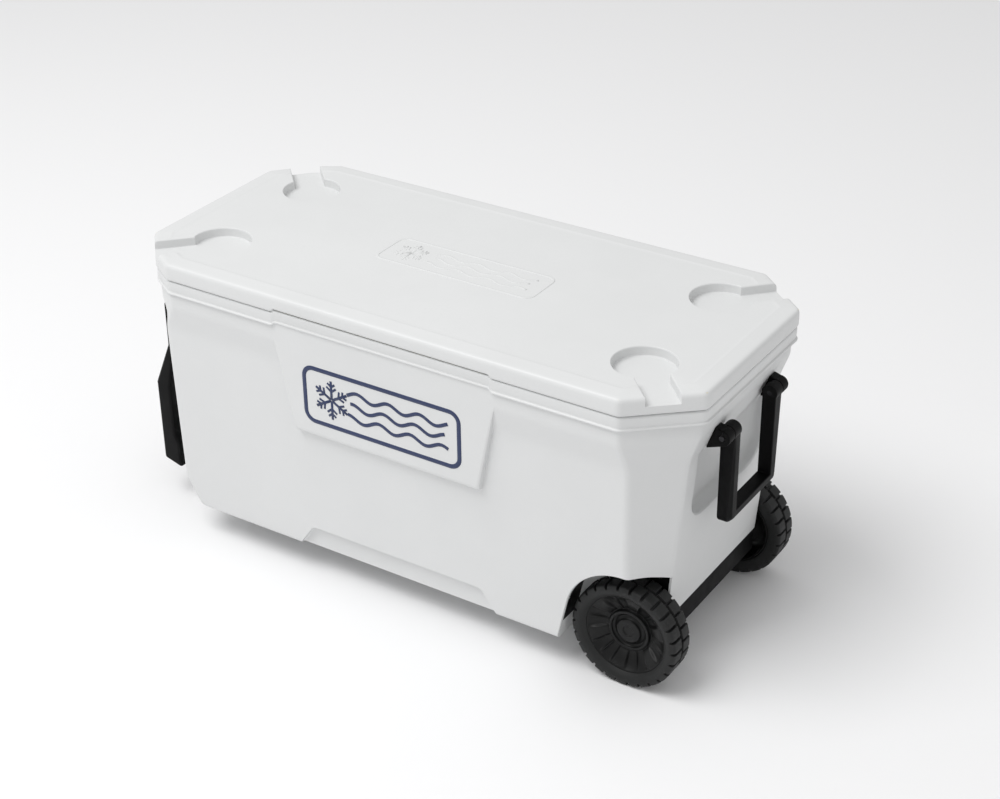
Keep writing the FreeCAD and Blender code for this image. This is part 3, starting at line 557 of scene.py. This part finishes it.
def make_tub():
    bottom = ((8.0, BASE_Z), (5.0, BASE_Z + 0.3), (2.6, BASE_Z + 1.2), (0.9, BASE_Z + 2.8))
    rows = [tub_row(z, inset) for inset, z in bottom] + [tub_row(z) for z in tub_heights()]
    body = piece("tub_body", closed_form(rows), SLOT_OF["tub_shell"], "root", ["tub_shell"])
    cutters = [recess_cutter(), step_cutter()]
    for sign in (-1, 1):
        arch_floor = [(SIDE_Y - 0.4, 0.4), (170.0, 0.4)]
        notch_floor = [(NOTCH_Y, -2.5), (NOTCH_Y + 0.5, -1.0), (NOTCH_Y + 1.8, 0.0)]
        cutters.append(side_cutter(arch_outline, arch_floor, sign))
        cutters.append(side_cutter(notch_outline, notch_floor, sign))
    carve(body, cutters, lambda face: face.calc_center_median().z > (SHELL_TOP_Z - 0.1) * MM)
    thicken(body, SKIN)


HEEL_FOAM_X, HEEL_FOAM_Z, HEEL_FOAM_PULL = 395.0, 100.0, 5.0
RECESS_FOAM_X, RECESS_FOAM_Y, RECESS_FOAM_PULL = 415.0, 112.0, 8.0
RECESS_FOAM_LOW_Z, RECESS_FOAM_TOP_Z = 240.0, 400.0
LID_FOAM_Y, LID_FOAM_Z, LID_FOAM_PULL, LID_FOAM_LIFT = -200.0, 460.0, 8.0, 2.0


def make_filling():
    """The tub's foam, kept behind the rounder heel at the tow end and the deeper recess at the wheel end."""
    bm = welded("tub_foam")
    for vertex in bm.verts:
        spot = vertex.co
        if spot.x < (TUB_MIDDLE - HEEL_FOAM_X) * MM and spot.z < HEEL_FOAM_Z * MM:
            spot.x += HEEL_FOAM_PULL * MM
        elif (
            spot.x > (TUB_MIDDLE + RECESS_FOAM_X) * MM
            and abs(spot.y) < RECESS_FOAM_Y * MM
            and RECESS_FOAM_LOW_Z * MM < spot.z < RECESS_FOAM_TOP_Z * MM
        ):
            spot.x -= RECESS_FOAM_PULL * MM
    piece("tub_filling", bm, SLOT_OF["tub_foam"], "root", ["tub_foam"])


def make_lid_filling():
    """The lid's foam, kept behind the seam where the front edge steps down."""
    bm = welded("lid_foam")
    for vertex in bm.verts:
        if vertex.co.y < LID_FOAM_Y * MM and vertex.co.z < LID_FOAM_Z * MM:
            vertex.co.y += LID_FOAM_PULL * MM
            vertex.co.z += LID_FOAM_LIFT * MM
    piece("lid_filling", bm, SLOT_OF["lid_foam"], "lid", ["lid_foam"])


BARE_Z = 80.0


def bare_foot(bm):
    """The lining stops low on the arch's sloping foot, where the tub's own white wall shows."""
    lining_end = TUB_MIDDLE + ARCH_X - 0.97 * ARCH_RADIUS + 1.0
    parts = bm.verts[:] + bm.edges[:] + bm.faces[:]
    bmesh.ops.bisect_plane(bm, geom=parts, plane_co=(0.0, 0.0, BARE_Z * MM), plane_no=(0.0, 0.0, 1.0))
    gone = []
    for face in bm.faces:
        middle = face.calc_center_median() / MM
        if middle.x < lining_end and middle.z < BARE_Z and abs(face.normal.y) < 0.5:
            gone.append(face)
    bmesh.ops.delete(bm, geom=gone, context="FACES")


make_tub()
make_filling()
make_lid_filling()
for side in ("front", "rear"):
    rounded("arch_lining_" + side, "wheel_arch_liner_" + side, 1.0, 2, bare_foot)

FLOOR_Z, FLOOR_ROUND, SHELF_X, SHELF_Z = 75.0, 14.0, 262.0, 215.0
LINER_LOW_X, LINER_TOP_X, LINER_LOW_Y, LINER_TOP_Y = 388.0, 425.0, 157.0, 172.0
LINER_TOP_Z, LINER_CUT = 450.0, 30.0


def liner_row(z, inset=0.0):
    """The food compartment's outline at one height."""
    rise = (z - FLOOR_Z) / (LINER_TOP_Z - FLOOR_Z)
    half_x = LINER_LOW_X + (LINER_TOP_X - LINER_LOW_X) * rise - inset
    half_y = LINER_LOW_Y + (LINER_TOP_Y - LINER_LOW_Y) * rise - inset
    cut = LINER_CUT - 0.3 * inset
    corners = [(-half_x + cut, -half_y), (half_x - cut, -half_y)]
    corners += [(half_x, -half_y + cut), (half_x, half_y - cut)]
    corners += [(half_x - cut, half_y), (-half_x + cut, half_y)]
    corners += [(-half_x, half_y - cut), (-half_x, -half_y + cut)]
    return [(x, y, z) for x, y in turn_corners(corners, [16.0] * 8, 5)]


def make_liner():
    """The basin, and the shelf over the wheels as a step with soft edges."""
    bm = bmesh.new()
    rows = [liner_row(447.0)] + [liner_row(z) for z in (400.0, 300.0, 200.0, 120.0)]
    for step in range(7):
        turn = math.radians(90.0 * step / 6)
        z = FLOOR_Z + FLOOR_ROUND * (1 - math.sin(turn))
        rows.append(liner_row(z, FLOOR_ROUND * (1 - math.cos(turn))))
    made = ring_rows(bm, rows)
    bm.faces.new(made[-1])
    edge = [(430.0, SHELF_Z), (SHELF_X + 12.0, SHELF_Z), (SHELF_X + 6.0, SHELF_Z - 1.6)]
    edge += [(SHELF_X + 1.6, SHELF_Z - 6.0)]
    edge += [(SHELF_X, SHELF_Z - 12.0), (SHELF_X, FLOOR_Z + 12.0), (SHELF_X - 1.6, FLOOR_Z + 6.0)]
    edge += [(SHELF_X - 6.0, FLOOR_Z + 1.6), (SHELF_X - 12.0, FLOOR_Z + 0.02)]
    lines = []
    for x, z in edge:
        rise = (z - FLOOR_Z) / (LINER_TOP_Z - FLOOR_Z)
        half = LINER_LOW_Y + (LINER_TOP_Y - LINER_LOW_Y) * rise + 0.5
        end = min(x, LINER_LOW_X + (LINER_TOP_X - LINER_LOW_X) * rise + 0.5)
        lines.append([bm.verts.new(at(end, y, z)) for y in (-half, -half / 2, 0.0, half / 2, half)])
    for first, second in zip(lines, lines[1:]):
        for index in range(4):
            bm.faces.new((first[index], first[index + 1], second[index + 1], second[index]))
    inside = at(0.0, 0.0, 380.0)
    piece("food_liner", bm, SLOT_OF["tub_liner"], "root", ["tub_liner"], [flat_faces()], inside)


make_liner()

# ---------------------------------------------------------------- rim and lid

LID_X, LID_Y, CUT_X, CUT_Y = 471.5, 217.0, 90.0, 78.0
STEP_LEFT, STEP_RIGHT, STEP_RUN, STEP_RISE = -190.0, 188.0, 8.0, 4.5
TOW_FULLNESS = 8.2
FRONT_STOPS = [-360, -300, -240, -200, -192, -190, -188, -186, -184, -182, -180, -150, -75, 0]
FRONT_STOPS += [75, 150, 178, 180, 182, 184, 186, 188, 190, 200, 240, 300, 365]


def raised(x, y):
    """How far the seam steps up along the middle of the front."""
    if y > 0:
        return 0.0
    up = smooth_step(x, STEP_LEFT, STEP_LEFT + STEP_RUN)
    down = smooth_step(x, STEP_RIGHT - STEP_RUN, STEP_RIGHT)
    return up - down


def plan(half_x, half_y, cut_x, cut_y, inset, corner=16.0, full=0.0):
    """An outline with cut, rounded corners, drawn in by an inset and swollen by full at the tow end."""
    lean_x = inset * math.tan(math.atan2(cut_x, cut_y) / 2.0)
    lean_y = inset * math.tan(math.atan2(cut_y, cut_x) / 2.0)
    hx, hy = half_x - inset, half_y - inset
    near_x, near_y = half_x - cut_x - lean_y, half_y - cut_y - lean_x
    length = math.hypot(cut_x, cut_y)
    mid_x = near_x + CORNER_SHARE * cut_x + full * cut_y / length
    mid_y = hy - CORNER_SHARE * (hy - near_y) + full * cut_x / length
    corners = [(-near_x, -hy), (near_x, -hy), (hx, -near_y), (hx, near_y)]
    corners += [(near_x, hy), (-near_x, hy), (-mid_x, mid_y)]
    corners += [(-hx, near_y), (-hx, -near_y), (-mid_x, -mid_y)]
    radius = max(corner - inset, 3.0)
    radii = [radius] * 6 + [radius * 1.5, radius, radius, radius * 1.5]
    return turn_corners(corners, radii, 5, {0: [(float(x), -hy) for x in FRONT_STOPS]})


def lid_row(inset, z, lift=0.0, lean=0.0, full=TOW_FULLNESS):
    """One level of the rim or lid, lifted and drawn in along the stepped part of the front."""
    row = []
    for x, y in plan(LID_X, LID_Y, CUT_X, CUT_Y, inset, full=full):
        step = raised(x, y) if y < -LID_Y + 20 else 0.0
        row.append((x, y + lean * step, z + lift * step))
    return row


def make_rim():
    bm = bmesh.new()
    rows = [
        lid_row(3.4, 440.0, STEP_RISE, 1.0),
        lid_row(3.4, 429.6, STEP_RISE, 1.0),
        lid_row(2.6, 428.7, STEP_RISE, 1.0),
        lid_row(1.0, 428.6, STEP_RISE, 1.6),
        lid_row(0.2, 429.2, STEP_RISE, 1.8),
        lid_row(0.0, 430.6, STEP_RISE, 1.8),
        lid_row(0.6, 431.8, STEP_RISE, 1.6),
        lid_row(2.4, 432.4, STEP_RISE, 1.4),
        lid_row(2.2, 434.0, STEP_RISE, 1.2),
        lid_row(1.7, 440.0, STEP_RISE, 0.6),
        lid_row(1.5, 446.2, STEP_RISE * 0.95, 0.2),
        lid_row(2.0, 448.0, STEP_RISE * 0.90, 0.1),
        lid_row(3.4, 449.2, STEP_RISE * 0.86, 0.0),
        lid_row(5.4, 449.6, STEP_RISE * 0.80, 0.0),
        lid_row(5.8, 449.7, 0.0, 0.0),
        lid_row(7.0, 450.0),
        lid_row(14.0, 450.0),
    ]
    edge = [(0.0, 450.0), (-1.2, 449.6), (-1.6, 448.6), (-1.7, 447.2)]
    inner = {"half_x": LINER_TOP_X, "half_y": LINER_TOP_Y, "cut_x": LINER_CUT, "cut_y": LINER_CUT}
    for grow, z in [(-5.0, 450.0)] + edge:
        rows.append([(x, y, z) for x, y in plan(inset=grow + 1.7, corner=14.0, **inner)])
    ring_rows(bm, rows)
    return piece("rim_collar", bm, "shell_white", "root", ["tub_rim"], [flat_faces()])


make_rim()

CREST_Z, FIELD_Z = 479.0, 478.3
LID_PROFILE = [
    (5.6, 453.7, 1.0),
    (5.6, 451.8, 1.0),
    (4.4, 451.3, 1.0),
    (2.6, 451.2, 1.0),
    (1.0, 451.9, 1.0),
    (0.2, 453.6, 1.0),
    (0.0, 455.0, 0.9),
    (0.0, 462.0, 0.4),
    (0.1, 470.0, 0.0),
    (0.5, 472.6, 0.0),
    (1.5, 474.9, 0.0),
    (3.1, 476.5, 0.0),
    (5.2, 477.3, 0.0),
    (8.0, 477.7, 0.0),
    (16.0, 478.2, 0.0),
    (24.0, 478.7, 0.0),
    (25.6, CREST_Z, 0.0),
    (27.2, CREST_Z, 0.0),
    (29.0, 478.6, 0.0),
    (31.5, FIELD_Z, 0.0),
    (36.0, FIELD_Z, 0.0),
]


WELL_X, WELL_Y, WELL_STEPS, SLOT_TURN, SLOT_RUN = 362, 111, 72, 46, (20.0, 150.0)
# Radius of the well, or half the slot's width, at each height.
WELL_WALL = [(43.0, 464.0), (44.4, 464.6), (45.0, 466.0), (45.0, 476.0)]
WELL_WALL += [(45.3, 477.2), (46.1, 478.1), (47.4, 478.9), (47.4, 486.0)]
SLOT_WALL = [(22.5, 464.0), (23.6, 464.5), (24.0, 465.8), (24.0, 475.6)]
SLOT_WALL += [(24.4, 477.0), (25.4, 478.0), (27.0, 478.9), (27.0, 486.0)]


def well_cutter(side_x, side_y):
    """The hollow of one cup well with a rounded lip and floor, and its slot, as two closed forms."""
    well_x, well_y = WELL_X * side_x, WELL_Y * side_y
    rows = []
    for radius, z in WELL_WALL:
        row = []
        for index in range(WELL_STEPS):
            turn = 2.0 * math.pi * index / WELL_STEPS
            row.append((well_x + radius * math.cos(turn), well_y + radius * math.sin(turn), z))
        rows.append(row)
    turn = math.radians(SLOT_TURN)
    heading = Vector((math.cos(turn) * side_x, math.sin(turn) * side_y))
    across = Vector((-heading.y, heading.x))
    section = [(-width, z) for width, z in reversed(SLOT_WALL)] + SLOT_WALL
    ends = []
    for run in SLOT_RUN:
        spots = [(heading * run + across * width, z) for width, z in section]
        ends.append([(well_x + spot.x, well_y + spot.y, z) for spot, z in spots])
    return closed_form(rows), closed_form(ends)


UNDERSIDE_Z, UNDERSIDE_AREA = 459.2, 0.01


def lid_underside(face):
    """The flat face that closes the lid's form from below, which the skin does without."""
    low = face.normal.z < -0.8 and face.calc_center_median().z < UNDERSIDE_Z * MM
    return low and face.calc_area() > UNDERSIDE_AREA


def make_lid():
    rows = [lid_row(5.6, 454.4, STEP_RISE, full=0.0)]
    rows += [lid_row(inset, z, STEP_RISE * lift) for inset, z, lift in LID_PROFILE]
    lid = piece("lid_top", closed_form(rows), "shell_white", "lid", ["lid_shell"])
    cutters = []
    for side_x in (-1, 1):
        for side_y in (-1, 1):
            cutters += well_cutter(side_x, side_y)
    carve(lid, cutters, lid_underside)
    thicken(lid, SKIN)


make_lid()


def lid_liner_widths(middle, along, angle, outward):
    if angle < BEND_ANGLE:
        return 0.0
    return 4.0 if middle.z < 445 else 1.0


rounded("lid_lining", "lid_liner", lid_liner_widths, 3)

# ---------------------------------------------------------------- marks: plain winter motif, no lettering


MITRE_LIMIT = 0.4


def stroke(bm, path, width, low, high, place, closed=False):
    """A raised line of even width along a path, with its top edges drawn in a little."""
    count = len(path)
    rows = []
    for index, here in enumerate(path):
        here = Vector(here)
        before = Vector(path[index - 1]) if closed or index else None
        after = Vector(path[(index + 1) % count]) if closed or index < count - 1 else None
        way_in = (here - before).normalized() if before is not None else None
        way_out = (after - here).normalized() if after is not None else None
        lead = way_in or way_out
        way = (lead + (way_out or way_in)).normalized()
        side = Vector((-way.y, way.x))
        reach = 0.5 * width / max(abs(side.dot(Vector((-lead.y, lead.x)))), MITRE_LIMIT)
        draw_in = 0.72 * reach
        spots = [(reach, low), (reach, 0.5 * (low + high)), (draw_in, high), (-draw_in, high)]
        spots += [(-reach, 0.5 * (low + high)), (-reach, low)]
        rows.append([bm.verts.new(place(*(here + side * out), level)) for out, level in spots])
    around = len(rows[0])
    pairs = list(zip(rows, rows[1:])) + ([(rows[-1], rows[0])] if closed else [])
    for first, second in pairs:
        for index in range(around):
            after = (index + 1) % around
            bm.faces.new((first[index], first[after], second[after], second[index]))
    if not closed:
        bm.faces.new(rows[0])
        bm.faces.new(rows[-1][::-1])


def rounded_box_path(half_u, half_v, radius, arc=8):
    path = []
    for index, (sign_u, sign_v) in enumerate(((1, 1), (-1, 1), (-1, -1), (1, -1))):
        for step in range(arc + 1):
            turn = math.radians(90.0 * (index + step / arc))
            centre_u, centre_v = sign_u * (half_u - radius), sign_v * (half_v - radius)
            path.append((centre_u + radius * math.cos(turn), centre_v + radius * math.sin(turn)))
    return path


# Strokes that cross lie at slightly different heights, so that no two faces share a plane.
ARM_DROP, BRANCH_DROP = 0.012, 0.03
BRANCHES, BRANCH_LEAN = ((0.45, 0.34), (0.70, 0.26)), 52.0
WAVES, WAVE_STEPS = ((-0.42, 0.84), (-0.38, 0.80), (-0.42, 0.84)), 48
PANEL_MARK_WIDTH, LID_MARK_WIDTH, LID_MARK_U, LID_MARK_V = 7.0, 4.4, 137.0, 40.0


def winter_motif(bm, half_u, half_v, width, low, high, place):
    """A round-cornered frame with a snow crystal and water lines."""
    border = rounded_box_path(half_u - width / 2, half_v - width / 2, half_v * 0.34)
    stroke(bm, border, width, low, high, place, True)
    size = half_v * 0.66
    centre = Vector((-half_u + half_v * 1.08, 0.0))
    for arm in range(6):
        turn = math.radians(60.0 * arm + 30.0)
        way = Vector((math.cos(turn), math.sin(turn)))
        level = high - ARM_DROP * arm
        stroke(bm, [centre + way * size * 0.04, centre + way * size], width * 0.62, low, level, place)
        for along, length in BRANCHES:
            for sign in (-1, 1):
                lean = math.radians(60.0 * arm + 30.0 + BRANCH_LEAN * sign)
                start = centre + way * size * along
                tip = start + Vector((math.cos(lean), math.sin(lean))) * size * length
                stroke(bm, [start, tip], width * 0.5, low, level - BRANCH_DROP * (2 + sign), place)
    for row, (left, right) in enumerate(WAVES):
        path = []
        for step in range(WAVE_STEPS + 1):
            u = half_u * (left + (right - left) * step / WAVE_STEPS)
            wave = math.sin(u / half_u * 16.0 + row)
            path.append((u, half_v * (0.40 - 0.40 * row) + half_v * 0.10 * wave))
        stroke(bm, path, width * 0.8, low, high, place)


def make_marks():
    low, high = (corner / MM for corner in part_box("badge"))
    middle_u, middle_v = (low.x + high.x) / 2 - TUB_MIDDLE, (low.z + high.z) / 2
    bm = bmesh.new()
    half_u, half_v = (high.x - low.x) / 2, (high.z - low.z) / 2

    def on_panel(u, v, level):
        return at(middle_u + u, high.y - level, middle_v + v)

    winter_motif(bm, half_u, half_v, PANEL_MARK_WIDTH, -0.4, 0.7, on_panel)
    piece("panel_mark", bm, "badge_blue", "root", ["badge"])
    bm = bmesh.new()

    def on_lid(u, v, level):
        return at(u, v + 2.0, level)

    winter_motif(bm, LID_MARK_U, LID_MARK_V, LID_MARK_WIDTH, FIELD_Z - 0.3, FIELD_Z + 0.68, on_lid)
    piece("lid_mark", bm, "shell_white", "lid")


make_marks()

# ---------------------------------------------------------------- wheels

WHEEL_X, WHEEL_Y, WHEEL_Z = 381.0, 165.5, 82.8
BLOCKS, OUTER_BLOCK, INNER_GAP = 26, (0.115, 0.885), (0.395, 0.605)
FACE_STEPS, CAP_STEPS = 360, 96
SPOKE_PITCH, SPOKE_START, SPOKE_EDGE, RIB_EDGE, RIB_SHARE = 60.0, 11.0, (9.0, 14.0), (1.2, 2.4), 0.62
STOPS = (0.0, 0.08, 0.12, 0.25, 0.35, 0.39, 0.43, 0.5, 0.57, 0.61, 0.75, 0.88, 0.92)


def turned(bm, side, angles, rows, closed=True):
    """A skin around the wheel's axis. Each row gives a radius and an outward distance for an angle."""
    made = []
    for row in rows:
        ring = []
        for turn in angles:
            radius, out = row(turn)
            y = side * (WHEEL_Y + out)
            x, z = WHEEL_X + radius * math.cos(turn), WHEEL_Z + radius * math.sin(turn)
            ring.append(bm.verts.new(at(x, y, z)))
        made.append(ring)
    pairs = list(zip(made, made[1:])) + ([(made[-1], made[0])] if closed else [])
    for first, second in pairs:
        count = len(first)
        for index in range(count):
            after = (index + 1) % count
            bm.faces.new((first[index], first[after], second[after], second[index]))
    return made


def fixed(radius, out):
    return lambda turn: (radius, out)


def make_tyre(name, side, node):
    pitch = 2.0 * math.pi / BLOCKS
    angles = [pitch * (block + stop) for block in range(BLOCKS) for stop in STOPS]

    def block_at(turn, row):
        part = (turn / pitch) % 1.0
        if row == "outer":
            return 1.0 if OUTER_BLOCK[0] < part < OUTER_BLOCK[1] else 0.0
        return 1.0 if part < INNER_GAP[0] or part > INNER_GAP[1] else 0.0

    def tread(row, top, groove, out):
        return lambda turn: (groove + (top - groove) * block_at(turn, row), out)

    rows = [
        fixed(62.0, -22.0),
        fixed(66.0, -23.4),
        fixed(74.5, -23.4),
        tread("inner", 79.4, 76.2, -23.0),
        tread("inner", 81.8, 77.2, -21.6),
        tread("inner", 82.8, 77.6, -19.8),
        tread("inner", 82.8, 77.8, -10.0),
        tread("inner", 82.8, 77.8, -2.6),
        tread("inner", 78.4, 77.8, -1.6),
        fixed(77.8, 0.5),
        tread("outer", 78.4, 77.8, 1.6),
        tread("outer", 82.8, 77.8, 2.6),
        tread("outer", 82.8, 77.6, 10.0),
        tread("outer", 82.7, 77.2, 18.8),
        tread("outer", 81.6, 76.6, 21.4),
        tread("outer", 79.4, 75.8, 23.0),
        fixed(75.2, 23.5),
        fixed(71.5, 23.3),
        fixed(68.2, 22.0),
        fixed(65.2, 19.6),
        fixed(62.8, 17.4),
        fixed(62.0, 16.8),
    ]
    bm = bmesh.new()
    turned(bm, side, angles, rows)
    bevel = {"limit_method": "ANGLE", "angle_limit": math.radians(35), "width": 0.45 * MM, "segments": 2}
    return piece(name, bm, "wheel_tread", BODY_OF[node], [node], [("BEVEL", bevel), flat_faces()])


def make_face(name, side, node):
    """The dished face with six broad spokes, thin ribs between them and the hub ring."""
    angles = [2.0 * math.pi * index / FACE_STEPS for index in range(FACE_STEPS)]

    def relief(turn, depth):
        part = (math.degrees(turn) + SPOKE_START) % SPOKE_PITCH - SPOKE_PITCH / 2.0
        spoke = 1.0 - smooth_step(abs(part), *SPOKE_EDGE)
        rib = 1.0 - smooth_step(SPOKE_PITCH / 2.0 - abs(part), *RIB_EDGE)
        return depth * (spoke + RIB_SHARE * rib)

    def dish(radius, out, depth):
        return lambda turn: (radius, out + relief(turn, depth))

    rows = [
        fixed(62.0, 16.7),
        fixed(60.8, 15.8),
        dish(59.4, 14.4, 0.6),
        dish(57.0, 12.0, 3.2),
        dish(53.0, 9.0, 5.2),
        dish(48.0, 6.2, 5.8),
        dish(43.0, 3.8, 5.0),
        dish(38.0, 1.8, 3.4),
        dish(35.0, 1.0, 1.2),
        fixed(33.0, 0.9),
        fixed(32.2, 5.0),
        fixed(31.4, 6.0),
        fixed(29.6, 6.3),
        fixed(28.0, 6.0),
        fixed(27.2, 5.0),
        fixed(26.8, 0.4),
        fixed(9.2, 0.1),
        fixed(9.2, -23.2),
        fixed(14.0, -23.2),
        fixed(14.0, -4.0),
        fixed(31.0, -4.0),
        fixed(56.0, 8.0),
        fixed(57.0, -21.8),
        fixed(62.0, -21.8),
    ]
    bm = bmesh.new()
    turned(bm, side, angles, rows)
    return piece(name, bm, "wheel_hub", BODY_OF[node], [node], [flat_faces()])


def make_cap(name, side, node):
    angles = [2.0 * math.pi * index / CAP_STEPS for index in range(CAP_STEPS)]
    outline = [(23.8, 0.2), (23.8, 1.6), (19.4, 1.9), (18.9, 5.4), (18.2, 6.5), (16.8, 7.0)]
    outline += [(9.4, 7.0), (8.2, 6.4), (7.8, 5.8), (7.6, 5.3), (0.6, 5.2)]
    bm = bmesh.new()
    made = turned(bm, side, angles, [fixed(radius, out) for radius, out in outline], closed=False)
    bm.faces.new(made[-1])
    bm.faces.new(made[0])
    return piece(name, bm, "wheel_hub", BODY_OF[node], [node], [flat_faces()])


for side, sign in (("front", -1), ("rear", 1)):
    make_tyre("tread_" + side, sign, "wheel_tyre_" + side)
    make_face("wheel_face_" + side, sign, "wheel_rim_" + side)
    make_cap("axle_cover_" + side, sign, "wheel_hub_cap_" + side)

# ---------------------------------------------------------------- handles, brackets and small parts


BAIL_X, BAIL_Z, BAIL_FACE_X, BAIL_OUT_Y, BAIL_LOW_Z = 470.0, 383.0, 480.5, 73.0, 237.0
TOW_X, TOW_Z, TOW_CORNER_Z = -462.0, 352.0, 255.0
PIVOT_REACH = 5.0


def shape_bail(bm):
    """Round lower corners, then a broad flat along the outer front edge."""
    bevel_some(bm, on_bail_corner, 12.0, 6)
    bevel_some(bm, on_bail_outline, 6.5, 1)


def on_bail_corner(middle, along):
    return abs(along.x) > 0.9 and middle.z < BAIL_LOW_Z + 1 and abs(middle.y) > BAIL_OUT_Y - 1


def on_bail_outline(middle, along):
    outer = abs(middle.y) > BAIL_OUT_Y - 13 or middle.z < BAIL_LOW_Z + 6
    return middle.x > BAIL_FACE_X - 0.3 and outer and middle.z < BAIL_Z - 12


def bail_widths(middle, along, angle, outward):
    clear = math.hypot(middle.x - BAIL_X, middle.z - BAIL_Z) > PIVOT_REACH
    return 1.6 if angle > SHARP_ANGLE and clear else 0.0


def tow_widths(middle, along, angle, outward):
    if math.hypot(middle.x - TOW_X, middle.z - TOW_Z) < PIVOT_REACH or angle < BEND_ANGLE:
        return 0.0
    return 1.6 if middle.z > TOW_CORNER_Z else 5.0


rounded("bail_grip", "bail_handle", bail_widths, 2, shape_bail)
rounded("tow_grip", "tow_handle", tow_widths, 3)
SMALL_PARTS = {
    "axle_beam": 1.2,
    "axle_spacer_front": 0.4,
    "axle_spacer_rear": 0.4,
    "axle_push_cap_front": 0.4,
    "axle_push_cap_rear": 0.4,
    "foot_front": 4.0,
    "foot_rear": 4.0,
    "bail_bracket_front": 1.6,
    "bail_bracket_rear": 1.6,
    "tow_bracket_front": 1.6,
    "tow_bracket_rear": 1.6,
    "hinge_lower_left": 0.5,
    "hinge_lower_middle": 0.5,
    "hinge_lower_right": 0.5,
    "hinge_upper_left": 0.5,
    "hinge_upper_middle": 0.5,
    "hinge_upper_right": 0.5,
    "hinge_screws_tub": 0.5,
    "hinge_screws_lid": 0.5,
    "drain_spout": 0.5,
    "drain_nut": 0.6,
    "drain_cap": 0.8,
}
for node, width in SMALL_PARTS.items():
    rounded(node + "_soft", node, width, 2)

PIN_STEEL = plated("blackened_steel", (0.045, 0.045, 0.048), 0.42)
for node, thing in frame["nodes"].items():
    if not thing.hide_render:
        look = PIN_STEEL if node in ("bail_pins", "tow_pins") else MATERIALS[SLOT_OF[node]]
        thing.data.materials.clear()
        thing.data.materials.append(look)

# ---------------------------------------------------------------- floor, light and camera

floor_mesh = bmesh.new()
bmesh.ops.create_grid(floor_mesh, x_segments=2, y_segments=2, size=14.0)
floor_data = bpy.data.meshes.new("studio_floor")
floor_mesh.to_mesh(floor_data)
floor_mesh.free()
floor = bpy.data.objects.new("studio_floor", floor_data)
bpy.context.scene.collection.objects.link(floor)
floor_nodes = Nodes("pale_floor")
floor_nodes.shader.inputs["Base Color"].default_value = (0.93, 0.93, 0.935, 1.0)
floor_nodes.shader.inputs["Roughness"].default_value = 0.9
floor_nodes.shader.inputs["Specular IOR Level"].default_value = 0.1
floor_data.materials.append(floor_nodes.material)

world = bpy.data.worlds.new("studio")
world.use_nodes = True
world.node_tree.nodes["Background"].inputs["Color"].default_value = (1.0, 1.0, 1.0, 1.0)
world.node_tree.nodes["Background"].inputs["Strength"].default_value = 0.60
bpy.context.scene.world = world


def soft_light(name, spot, aim, width, height, power):
    """A broad panel of white light."""
    data = bpy.data.lights.new(name, "AREA")
    data.shape = "RECTANGLE"
    data.size = width
    data.size_y = height
    data.energy = power
    thing = bpy.data.objects.new(name, data)
    bpy.context.scene.collection.objects.link(thing)
    thing.location = spot
    thing.rotation_euler = (Vector(aim) - Vector(spot)).to_track_quat("-Z", "Y").to_euler()
    return thing


KEY_SPOT, KEY_AIM, KEY_WIDTH, KEY_HEIGHT, KEY_POWER = (-1.15, -1.85, 4.35), (0.0, 0.0, 0.3), 3.0, 2.6, 130.0
soft_light("key_panel", KEY_SPOT, KEY_AIM, KEY_WIDTH, KEY_HEIGHT, KEY_POWER)

# The camera's place, turn and lens come from fitting the cooler's edges and corners to the photo.
SENSOR_WIDTH, LENS = 36.0, 69.868
CAMERA_SPOT = Vector((1.4385, -2.1050, 1.7165))
camera_data = bpy.data.cameras.new("camera")
camera_data.sensor_width = SENSOR_WIDTH
camera_data.lens = LENS
camera_data.clip_end = 60.0
camera = bpy.data.objects.new("camera", camera_data)
bpy.context.scene.collection.objects.link(camera)
RIGHT = Vector((0.84194369, 0.53946454, -0.01043216))
UP = Vector((-0.26095066, 0.42403695, 0.8672355))
BACK = Vector((0.47226643, -0.72744118, 0.49778886))
camera_turn = Matrix((RIGHT, UP, BACK)).transposed().to_4x4()
camera.matrix_world = Matrix.Translation(CAMERA_SPOT) @ camera_turn
bpy.context.scene.camera = camera
bpy.context.scene.view_settings.view_transform = "Standard"

bpy.context.view_layer.update()
